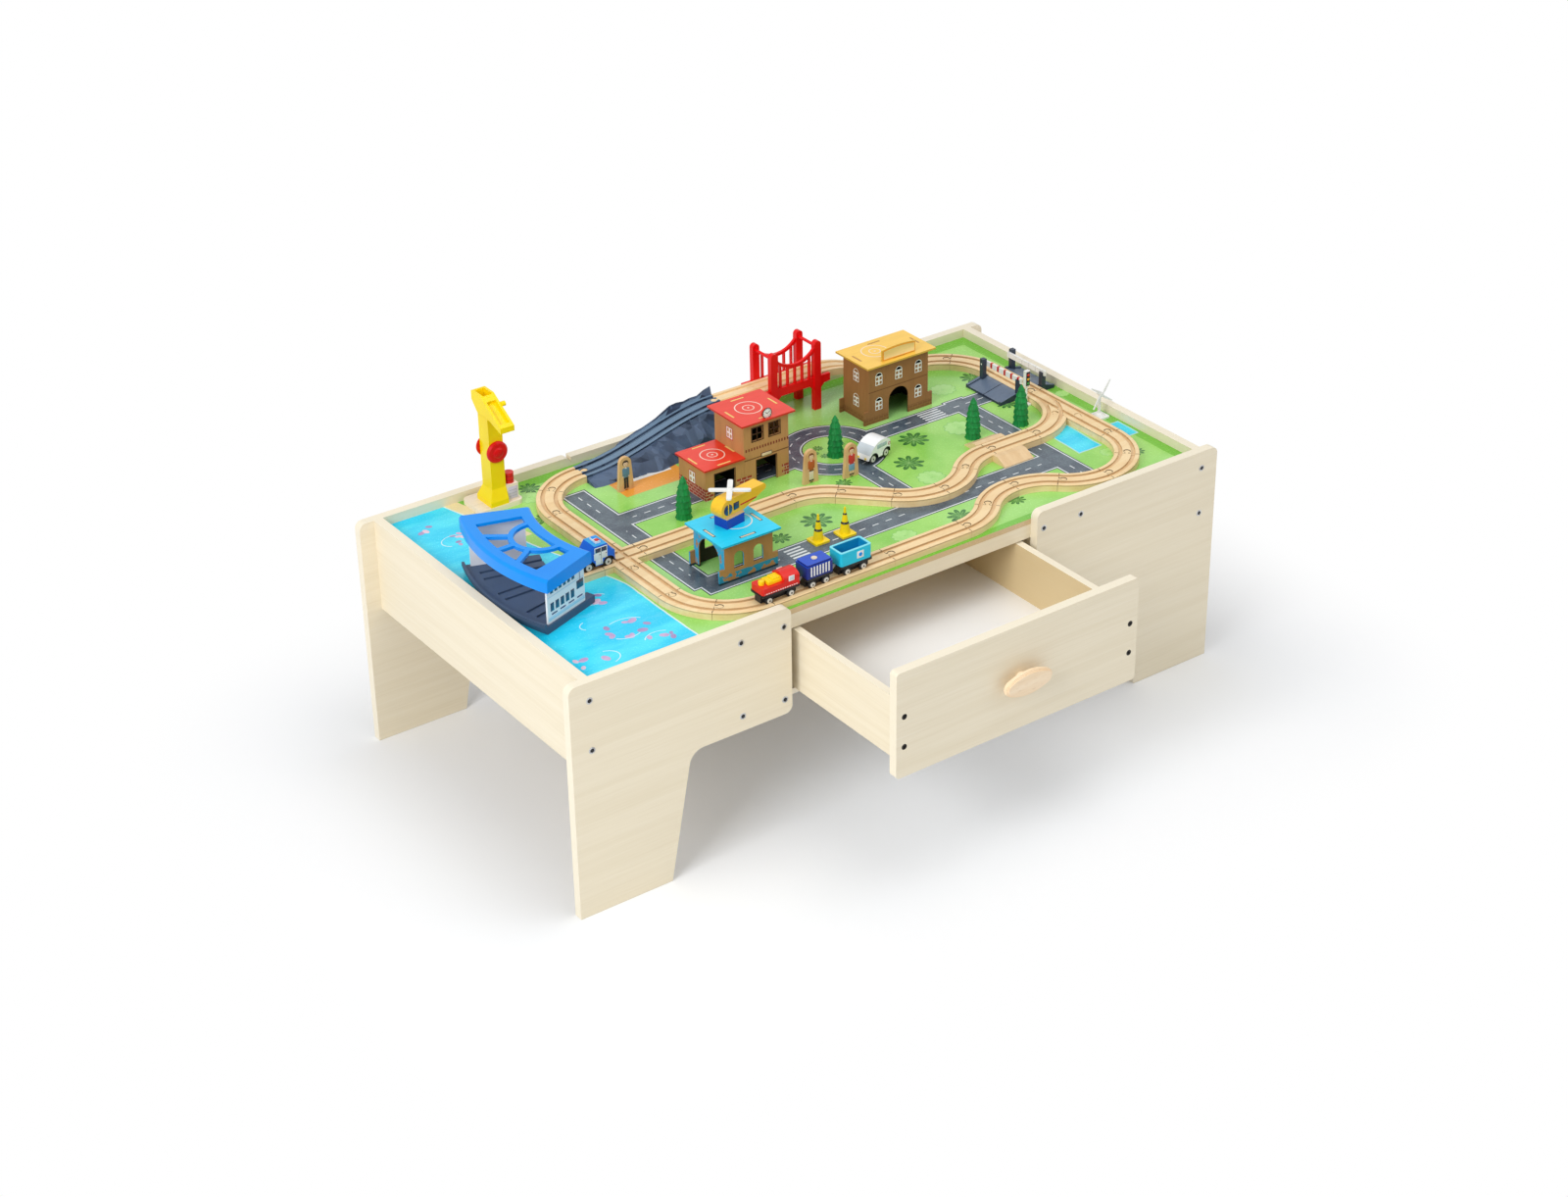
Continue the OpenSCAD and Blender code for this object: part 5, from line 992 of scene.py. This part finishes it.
def trafficLamps(kit):
    x, y = kit["at"]
    half = kit["plateHalf"]
    lamps = [(name, h, lampPaint(name, color)) for name, h, color in kit["lamps"]]
    parts = []
    for way in (-1, 1):
        ya, yb = sorted((y + way * 3.1, y + way * 3.8))
        low, high = (x - half, ya, kit["plateFoot"]), (x + half, yb, kit["plateTop"])
        parts.append(slab("lampPlate", low, high, black, 0.2))
        parts += [disc(name, (x, y + way * 4.0, h), kit["lampRadius"], 0.9, "y", paint, 0.35, 24)
                  for name, h, paint in lamps]
    parts += [slab("lampHood", (x - 2.9, y - 5.2, h + 2.4), (x + 2.9, y - 3.6, h + 3.0), black, 0.15)
              for name, h, paint in lamps]
    mount(merge("trafficLamps", parts), "table")


trafficLamps(trafficLight)

# Bolts: a washer and a hexagon socket on each head
bolt = {"outerFace": 299.9, "reach": 12, "washer": 5.3, "socket": 3.6}


def boltHeads(kit):
    heads = []
    for v in nodes["panel_bolts"].data.vertices:
        if abs(v.co.y * 1000 - yShift) < kit["outerFace"]:
            continue
        for head in heads:
            if (head[0] - v.co).length < kit["reach"] / 1000:
                head.append(v.co.copy())
                break
        else:
            heads.append([v.co.copy()])
    parts = []
    for head in heads:
        middle = sum(head, Vector()) / len(head)
        x, y, h = middle.x * 1000, middle.y * 1000 - yShift, middle.z * 1000 - boardTop
        way = 1 if y > 0 else -1
        parts += [disc("washer", (x, y + way * 0.2, h), kit["washer"], 0.8, "y", zinc, 0.25, 32),
                  disc("socket", (x, y + way * 0.62, h), kit["socket"], 0.3, "y", black, 0.05, 6)]
    mount(merge("boltHeads", parts), "table")


boltHeads(bolt)

# Wheels: a pale hub with a dark middle on the outside of each
hub = {"share": 0.3, "out": 0.01275, "thick": 0.0019, "pinThick": 0.0025, "tone": tint(222, 220, 212)}


def hubs(kit):
    grey = painted("hubGrey", kit["tone"])
    for joint in frame["joints"]:
        body = joint["child"]
        if not body.endswith("_wheels"):
            continue
        low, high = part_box(body)
        size = (high[2] - low[2]) * kit["share"]
        at, axis = Vector(joint["pos_m"]), Vector(joint["axis"])
        face = Matrix.Translation(at) @ axis.to_track_quat("Z", "Y").to_matrix().to_4x4()
        parts = []
        for way in (-1, 1):
            for name, radius, thick, paint in (("hub", size, kit["thick"], grey),
                                               ("hubPin", size * 0.3, kit["pinThick"], black)):
                fresh()
                bpy.ops.mesh.primitive_cylinder_add(vertices=28, radius=radius, depth=thick,
                                                    location=(0, 0, way * kit["out"]))
                cap = settle(bpy.context.object, name, paint)
                soften(0.4)
                cap.data.transform(face)
                parts.append(cap)
        mount(merge(body + "Hubs", parts), body)


hubs(hub)

# Train: cab windows, a label on the hopper wagon, and the parts at the locomotive's front
train = {"y": -258.0, "half": 15.0,
         "cab": [(-213, -203, 37.6, 46, white, 0.4, 0.9), (-211.6, -204.4, 39, 44.8, paleGlass, 0.6, 0.6)],
         "label": [(-91, -79, 33.6, 45, white, 0.4, 0.3)], "labelDot": (-85, 39.3, 3.2),
         "buffer": (-259.2, -257.8, 24.6, 27.4), "dome": (-250.3, 44.4, 4.3),
         # ribs: x, half width, height of the foot
         "ribs": [(-233, 7.1, 45.4), (-229, 7.1, 45.4), (-225, 7.1, 45.4), (-241.8, 8.8, 42.8),
                  (-238, 8.8, 42.8)]}


def trainTrim(kit):
    y, half = kit["y"], kit["half"]
    for way, side in ((-1, "Near"), (1, "Far")):
        mount(merge("locoSide" + side, boards("cab", 0, y, way, half, kit["cab"])), "loco")
        x, h, radius = kit["labelDot"]
        label = boards("label", 0, y, way, half, kit["label"])
        label.append(disc("labelDot", (x, y + way * (half + 0.4), h), radius, 0.5, "y", shedBlue, 0.1))
        mount(merge("hopperLabel" + side, label), "hopper_wagon")
    x0, x1, h0, h1 = kit["buffer"]
    front = [slab("buffer", (x0, y - 12, h0), (x1, y + 12, h1), black, 0.4)]
    x, h, radius = kit["dome"]
    front.append(disc("domeCap", (x, y, h), radius, 1.6, "z", lemon, 0.7))
    front += [slab("engineRib", (x - 1.3, y - wide, h), (x + 1.3, y + wide, h + 1.4), lemon, 0.6)
              for x, wide, h in kit["ribs"]]
    mount(merge("locoFront", front), "loco")


trainTrim(train)

# Patrol car: doors, windows, lamps, bumper and beacons; x from its rear
patrolCar = {
    "at": (-413.0, -24.0), "half": 15.0,
    "boards": [(24, 36, 19, 28.2, white, 0.4, 0.3), (21.4, 44.4, 27.8, 38, white, 0.4, 0.5),
               (22.6, 44.6, 37.6, 47.4, white, 0.4, 0.8), (24, 33, 39.2, 46.2, glassBlue, 0.6, 0.4),
               (34.4, 43.2, 39.2, 46.2, glassBlue, 0.6, 0.4), (33.5, 33.9, 19.4, 47, black, 0.5, 0.05),
               (30.4, 32.8, 34.8, 35.6, black, 0.8, 0.1), (41, 43.4, 34.8, 35.6, black, 0.8, 0.1)],
}


def patrolTrim(kit):
    x, y = kit["at"]
    parts = []
    for way in (-1, 1):
        parts += boards("door", x, y, way, kit["half"], kit["boards"])
    parts += [disc("lamp", (x + 60.1, y + s * 8, 28), 2.3, 1.0, "x", frameWhite, 0.3) for s in (-1, 1)]
    parts.append(slab("bumper", (x + 59.4, y - 8.6, 18.4), (x + 61, y + 8.6, 21.6), black, 0.4))
    for middle, paint in ((y - 4.6, scarlet), (y + 4.6, shedBlue)):
        low, high = (x + 30.4, middle - 3.4, 53.6), (x + 36.8, middle + 3.4, 55)
        parts.append(slab("beaconCap", low, high, paint, 0.5))
    mount(merge("patrolTrim", parts), "patrol_car")


patrolTrim(patrolCar)

# White car: panes, door lines, sills, round badges and lamps; x from its middle, then turned with it
whiteCar = {
    "at": (161.0, 18.0), "turn": 13, "half": 15.0, "glass": tint(178, 198, 208),
    "boards": [(-8, 3, 23.4, 30.6, "glass", 0.3, 1.2), (4.4, 15, 23.4, 30, "glass", 0.3, 1.2),
               (3.6, 3.9, 12, 31, paleGlass, 0.32, 0.05), (-5, 5, 8.6, 10.8, white, 0.4, 0.2)],
    "badge": (21.5, 23.4), "badgeRadius": 2.7, "faceRadius": 1.7,
    "lamps": [(-27.6, 11.4, 1.2, lemon), (28.0, 18, 0.9, scarlet)],
}


def whiteCarTrim(kit):
    x, y = kit["at"]
    glass = painted("carGlass", kit["glass"], rough=0.15, coat=0.8)
    rows = [tuple(glass if value == "glass" else value for value in row) for row in kit["boards"]]
    bx, bh = kit["badge"]
    parts = []
    for way in (-1, 1):
        parts += boards("pane", x, y, way, kit["half"], rows)
        parts += [disc("badge", (x + bx, y + way * 15.1, bh), kit["badgeRadius"], 0.6, "y", redTrim, 0.15),
                  disc("badgeFace", (x + bx, y + way * 15.2, bh), kit["faceRadius"], 0.7, "y", white, 0.15)]
    parts += [disc("carLamp", (x + dx, y + s * 7, h), 1.8, thick, "x", paint, 0.3)
              for dx, h, thick, paint in kit["lamps"] for s in (-1, 1)]
    swing(parts, spot(x, y), kit["turn"])
    mount(merge("whiteCarTrim", parts), "white_car")


whiteCarTrim(whiteCar)

# Helicopter: panes, stripe and rotor cap; x from its nose, then turned with the body
helicopter = {
    "nose": (-242.0, -121.0), "pin": (-202, -121), "turn": 11, "half": 11.0, "cockpit": (19, 97, 8.6),
    "boards": [(18.3, 19.9, 88, 106.4, lemon, 0.9, 0.15), (31, 40.5, 93, 102.5, glassBlue, 0.5, 0.8),
               (30, 41.5, 92, 103.5, black, 0.25, 0.9), (44, 78, 94.5, 96.7, scarlet, 0.3, 0.2)],
    "rotorCap": (34, 122.3, 4.4),
}


def helicopterTrim(kit):
    x, y = kit["nose"]
    dx, h, radius = kit["cockpit"]
    panes = []
    for way in (-1, 1):
        panes.append(disc("cockpitPane", (x + dx, y + way * 11.1, h), radius, 0.9, "y", glassBlue, 0.3, 32))
        panes += boards("cabin", x, y, way, kit["half"], kit["boards"])
    dx, h, radius = kit["rotorCap"]
    cap = disc("rotorCap", (x + dx, y, h), radius, 2.2, "z", white, 0.8)
    swing(panes + [cap], spot(*kit["pin"]), kit["turn"])
    mount(merge("helicopterPanes", panes), "table")
    mount(merge("rotorCap", [cap]), "helicopter_rotor")


helicopterTrim(helicopter)
print("train table: windows, labels and lamps fitted")

# Printed people on the wooden figures, as thin layers on both faces
people = [
    {"at": (-206, 165), "hair": tint(48, 40, 36), "top": tint(96, 132, 158), "legs": tint(34, 36, 44),
     "skirt": False},
    {"at": (34.1, 12), "hair": tint(120, 72, 34), "top": tint(186, 92, 44), "legs": tint(232, 222, 200),
     "skirt": False},
    {"at": (96.1, -9), "hair": tint(150, 62, 34), "top": tint(206, 58, 52), "legs": tint(120, 160, 190),
     "skirt": True},
]


def printPeople(group):
    slim, half = 0.8, 3.0
    skin = painted("skinPrint", tint(240, 204, 172), coat=0.1)
    shoe = painted("shoePrint", tint(60, 46, 40), coat=0.1)

    def both(x, wide, *rest):
        return [(s * x - wide, s * x + wide, *rest) for s in (-1, 1)]
    for number, person in enumerate(group):
        x, y = person["at"]
        hair, top, legs = (painted("person%d%s" % (number, key.title()), person[key], coat=0.1)
                           for key in ("hair", "top", "legs"))
        # mouth, fringe, neck, chest, sleeves, collar, then the legs and shoes
        layers = [(-1.2, 1.2, 42.4, 42.9, redTrim, 0.5, 0.1), (-4.6, 4.6, 48.0, 50.0, hair, 0.5, 0.5),
                  (-1.4, 1.4, 38.6, 41, skin, 0.3, 0.2), (-5.4, 5.4, 22, 39.4, top, 0.35, 1.2)]
        layers += both(6.6, 1.3, 25, 38.4, top, 0.3, 1.0)
        layers.append((-2.2, 2.2, 37.6, 38.8, white, 0.5, 0.2))
        if person["skirt"]:
            layers.append((-7, 7, 11, 22.6, legs, 0.4, 1.4))
            layers += both(2.8, 1.2, 5, 11.4, skin, 0.3, 0.3)
        else:
            layers.append((-5.2, 5.2, 20.6, 22.4, shoe, 0.45, 0.2))      # belt
            layers += both(2.7, 2.3, 6, 21, legs, 0.3, 0.6)
        layers += both(3, 2.5, 3.6, 6.4, shoe, 0.4, 0.6)
        # hair, face, eyes and hands: x, h, radius, paint, how far proud, sides
        dots = [(0, 46.5, 6.6, hair, 0.25, 24), (0, 45.2, 5.2, skin, 0.4, 24)]
        dots += [(s * 1.9, 45.8, 0.55, black, 0.55, 12) for s in (-1, 1)]
        dots += [(s * 6.6, 24, 1.4, skin, 0.35, 16) for s in (-1, 1)]
        parts = []
        for way in (-1, 1):
            for dx, h, radius, paint, proud, sides in dots:
                middle = (x + dx * slim, y + way * (half + proud / 2 - 0.05), h)
                parts.append(disc("dot", middle, radius * slim, proud + 0.1, "y", paint, 0.06, sides))
            parts += boards("layer", x, y, way, half, layers, slim)
        mount(merge("printedPerson%d" % (number + 1), parts), "table")


printPeople(people)

# Printed leaves: thin film on the board, each rosette modelled once and copied; x, y, radius
rosettes = {
    "dark": [(252, 31, 26), (196, -29, 25), (150, -214, 22), (471, 152, 22), (-32, -94, 26), (-108, -106, 18),
             (-355, 159, 20), (74, -21, 14), (452, 40, 18), (-322, 258, 18), (250, -226, 16), (505, -216, 15),
             (106, 70, 9), (142, 64, 10), (150, 90, 8), (112, 98, 9), (128, 54, 8), (98, 86, 7)],
    "pale": [(335, 19, 26), (193, -89, 24), (403, 145, 24), (44, -212, 22), (550, 15, 14), (-337, 232, 20),
             (-14, 172, 20), (60, 190, 22), (470, -190, 16)],
    "seed": 5,
}
filmThick = 0.002


def film(name, count, reach, material):
    # a thin flat print 1 m in radius, its outline given by reach(turn)
    fresh()
    bpy.ops.mesh.primitive_circle_add(vertices=count, radius=1, fill_type="TRIFAN")
    piece = settle(bpy.context.object, name, material)
    for v in piece.data.vertices:
        v.co *= reach(math.atan2(v.co.y, v.co.x) - math.pi / 2)
    edit()
    bpy.ops.mesh.extrude_region_move(TRANSFORM_OT_translate={"value": (0, 0, 0.06)})
    bpy.ops.mesh.select_all(action="SELECT")
    bpy.ops.mesh.normals_make_consistent(inside=False)
    leave()
    return piece


def leafPrint(name, color, vein):
    p = Paint(name)
    blot = p.noise(70.0, 4, 0.6)
    color = p.over(color, blot.soft(0.42, 0.66) * 0.8, vein)
    return p.done(color, 0.22 + blot * 0.1, coat=0.1, coatRough=0.12)


def lobes(count, least, power=1.0):
    return lambda turn: least + (1 - least) * abs(math.cos(count * turn / 2)) ** power


def printLeaves(kit):
    dice = random.Random(kit["seed"])
    deep = leafPrint("leafDeep", tint(62, 128, 56), tint(42, 102, 46))
    mid = leafPrint("leafMid", tint(104, 166, 82), tint(74, 136, 62))
    vein = leafPrint("leafVein", tint(176, 218, 140), tint(150, 200, 116))
    pale = leafPrint("leafPale", tint(176, 228, 136), tint(160, 218, 118))
    rim = leafPrint("leafRim", tint(136, 200, 100), tint(118, 184, 88))
    looks = {"dark": [(film("leaf", 90, lobes(9, 0.36, 0.7), deep), 1.0),
                      (film("heart", 90, lobes(9, 0.3, 1.4), mid), 0.66),
                      (film("veins", 36, lobes(9, 0.05, 40), vein), 0.86)],
             "pale": [(film("bush", 110, lobes(11, 0.84), rim), 1.0),
                      (film("bushFace", 110, lobes(11, 0.84), pale), 0.93),
                      (film("bushVein", 44, lobes(11, 0.04, 40), rim), 0.6)]}
    for kind, models in looks.items():
        parts = []
        for x, y, radius in kit[kind]:
            turn = Matrix.Rotation(dice.uniform(0, 6.28), 4, "Z")
            flat = dice.uniform(0.82, 1.0)
            for level, (model, share) in enumerate(models):
                size = radius * share / 1000
                place = Matrix.Translation(spot(x, y, -0.1 + level * 0.04))
                parts.append(twin(model, place @ Matrix.Diagonal((size, size * flat, filmThick, 1)) @ turn))
        clear(*[model for model, share in models])
        mount(merge(kind + "Leaves", parts), "table")


printLeaves(rosettes)

# Printed pebbles and foam lines in the lake
lakePrint = {
    # pebbles: middle, how many, how far they spread in x and y
    "pebbles": [(-493, 181, 6, 16, 20), (-432, -190, 9, 34, 22), (-408, -238, 5, 18, 12),
                (-424, -94, 5, 14, 16), (-520, -230, 4, 20, 14), (-515, 240, 3, 14, 10)],
    "tones": [(tint(206, 178, 214), tint(182, 150, 196)), (tint(232, 204, 222), tint(214, 178, 204)),
              (tint(176, 150, 196), tint(150, 128, 178))],
    "sizes": (4.4, 8.4), "flat": 0.66, "seed": 9,
    # foam: middle, radius, start and sweep in degrees
    "foam": [(-432, -186, 34, 20, 110), (-440, -196, 24, 200, 120), (-410, -236, 22, 30, 140),
             (-426, -92, 20, 10, 250), (-494, 182, 24, 60, 160), (-505, -238, 26, 300, 120),
             (-468, -150, 18, 120, 90), (-516, 40, 20, 40, 100)],
    "foamWire": 0.9, "foamScale": (1, 0.7, 0.14),
}


def printPebbles(kit):
    dice = random.Random(kit["seed"])
    models = [film("pebble", 18, lambda turn: 1.0, leafPrint("pebble%d" % i, *tones))
              for i, tones in enumerate(kit["tones"])]
    parts = []
    for cx, cy, count, spreadX, spreadY in kit["pebbles"]:
        for i in range(count):
            x = cx + dice.uniform(-spreadX, spreadX)
            y = cy + dice.uniform(-spreadY, spreadY)
            size = dice.uniform(*kit["sizes"]) / 1000
            model = dice.choice(models)
            turn = Matrix.Rotation(dice.uniform(0, 3), 4, "Z")
            place = Matrix.Translation(spot(x, y, -0.08 + i * 0.004)) @ turn
            parts.append(twin(model, place @ Matrix.Diagonal((size, size * kit["flat"], filmThick, 1))))
    clear(*models)
    mount(merge("printedPebbles", parts), "table")


def printFoam(kit):
    foam = leafPrint("foam", tint(214, 242, 250), tint(190, 232, 246))
    arcs = []
    for cx, cy, radius, start, sweep in kit["foam"]:
        fresh()
        bpy.ops.mesh.primitive_torus_add(major_radius=radius / 1000, minor_radius=kit["foamWire"] / 1000,
                                         major_segments=64, minor_segments=6, location=(0, 0, 0))
        ring = bpy.context.object
        ring.scale = kit["foamScale"]
        settle(ring, "foamArc", foam)
        for face in ring.data.polygons:      # the rest of the ring goes
            turn = math.degrees(math.atan2(face.center.y, face.center.x)) % 360
            face.select = (turn - start) % 360 > sweep
        edit(False)
        bpy.ops.mesh.select_mode(type="FACE")
        bpy.ops.mesh.delete(type="FACE")
        bpy.ops.mesh.select_all(action="SELECT")
        bpy.ops.mesh.fill_holes(sides=0)
        leave()
        ring.data.transform(Matrix.Translation(spot(cx, cy, 0.02)))
        arcs.append(ring)
    mount(merge("printedFoam", arcs), "table")


printPebbles(lakePrint)
printFoam(lakePrint)

# Trees: lobed tiers over the turned solid
tree = {"places": ((-185, 36), (119.6, 62), (332, -20), (423, -30)), "tiers": 7, "high": 71.0, "wide": 13.5,
        "lobes": 5, "tierDepth": 0.24, "lobeDepth": 0.14}


def treeGreen():
    p = Paint("treeGreen")
    needle = p.noise((160, 160, 60), 4, 0.65)
    tone = p.noise(40.0, 3, 0.6, (2, 4, 6))
    color = p.over(tint(6, 134, 60), needle.soft(0.4, 0.7) * 0.7, tint(2, 100, 44))
    # painted highlights: random lighter patches on the green
    color = p.over(color, tone.soft(0.55, 0.75) * 0.5, tint(28, 166, 82))
    return p.done(color, 0.42 + needle * 0.2, p.bump(needle, 0.35, 0.0008))


def growTrees(kit):
    green = treeGreen()
    fresh()
    bpy.ops.mesh.primitive_grid_add(x_subdivisions=48, y_subdivisions=64, size=1)
    model = settle(bpy.context.object, "treeModel", green)
    for v in model.data.vertices:
        turn, t = (v.co.x + 0.5) * 2 * math.pi, v.co.y + 0.5
        step = t * kit["tiers"]
        fall = step - math.floor(step)      # each tier is widest at its lower edge
        lobe = abs(math.cos(kit["lobes"] * turn + math.floor(step) * 1.1))
        bullet = max(0.0, 1 - t ** 2.7) ** 0.75
        cut = kit["tierDepth"] * fall ** 0.8 + kit["lobeDepth"] * (1 - lobe) * (1 - fall)
        radius = kit["wide"] * bullet * (1 - cut) / 1000
        v.co = (radius * math.cos(turn), radius * math.sin(turn), kit["high"] * t / 1000)
    edit()
    bpy.ops.mesh.remove_doubles(threshold=0.00001)
    bpy.ops.mesh.fill_holes(sides=0)
    bpy.ops.mesh.select_all(action="SELECT")
    bpy.ops.mesh.normals_make_consistent(inside=False)
    leave()
    grown = [twin(model, Matrix.Translation(spot(x, y))) for x, y in kit["places"]]
    clear(model)
    trees = mount(merge("tierTrees", grown), "table")
    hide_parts("trees")
    dress(green, "trees")


growTrees(tree)
print("train table: people, print and trees made")

# Floor, light and camera; lamps are placed in metres
studio = {
    "floor": tint(248, 250, 253), "half": (600, 340), "middleY": -40, "near": 10, "far": 380, "least": 0.04,
    "sky": 0.5, "aim": (0, 0.1, 0.3),
    "lamps": [("keyBox", (-3.3, -1.1, 2.5), 1.8, 80.0), ("fillBox", (2.2, -2.4, 2.2), 1.8, 10.0),
              ("topBox", (0.3, -0.4, 3.3), 2.2, 28.0)],
}


def seen(tree):
    # 1 for what the camera sees, also in a reflection or through a clear piece
    ray = tree.nodes.new("ShaderNodeLightPath")
    total = ray.outputs["Is Camera Ray"]
    for name in ("Is Glossy Ray", "Is Transmission Ray"):
        add = tree.nodes.new("ShaderNodeMath")
        add.operation = "MAXIMUM"
        tree.links.new(total, add.inputs[0])
        tree.links.new(ray.outputs[name], add.inputs[1])
        total = add.outputs[0]
    return total


def floorPaint(kit):
    # pale near the table, where its shadow falls, and pure white further out
    p = Paint("studioFloor")
    p.done(kit["floor"], 0.9, gloss=0.1)
    halfX, halfY = kit["half"]
    outX, outY = (abs(p.x) - halfX) | 0.0, (abs(p.y - kit["middleY"]) - halfY) | 0.0
    away = radial(outX, outY).soft(kit["near"], kit["far"])
    share = (away | kit["least"]) * Field(p, seen(p.tree))
    glow = p.add("ShaderNodeEmission")
    mixed = p.add("ShaderNodeMixShader", None, {0: share, 1: Field(p, p.shader.outputs[0]), 2: glow})
    p.feed(p.tree.nodes["Material Output"].inputs["Surface"], mixed)
    return p.material


def studioWorld(kit):
    world = bpy.data.worlds.new("studioWorld")
    bpy.context.scene.world = world
    world.use_nodes = True
    tree = world.node_tree
    sky = tree.nodes["Background"]
    sky.inputs["Color"].default_value = (1, 1, 1, 1)
    bright = tree.nodes.new("ShaderNodeMapRange")
    bright.inputs["To Min"].default_value = kit["sky"]
    bright.inputs["To Max"].default_value = 1.0
    tree.links.new(seen(tree), bright.inputs["Value"])
    tree.links.new(bright.outputs[0], sky.inputs["Strength"])


def softbox(name, place, size, power):
    lamp = bpy.data.lights.new(name, "AREA")
    lamp.shape = "SQUARE"
    lamp.size = size
    lamp.energy = power
    box = bpy.data.objects.new(name, lamp)
    bpy.context.scene.collection.objects.link(box)
    box.location = place
    box.rotation_euler = (Vector(studio["aim"]) - Vector(place)).to_track_quat("-Z", "Y").to_euler()


fresh()
bpy.ops.mesh.primitive_plane_add(size=14, location=(0, 0.5, -0.0004))
floor = settle(bpy.context.object, "studioFloor", floorPaint(studio))
studioWorld(studio)
for lamp in studio["lamps"]:
    softbox(*lamp)

eye = bpy.data.cameras.new("photoView")
eye.sensor_width = 36
eye.lens = 2889 / 1600 * 36
eye.shift_x = -(887 - 800) / 1600
eye.shift_y = -(610.5 - 520) / 1600
camera = bpy.data.objects.new("photoView", eye)
bpy.context.scene.collection.objects.link(camera)
camera.location = (-2.247, -2.997, 2.393)
camera.rotation_euler = (math.radians(90 - 28.16), 0, math.radians(-37.36))
bpy.context.scene.camera = camera
bpy.context.scene.view_settings.view_transform = "Standard"

print("train table: dressed")
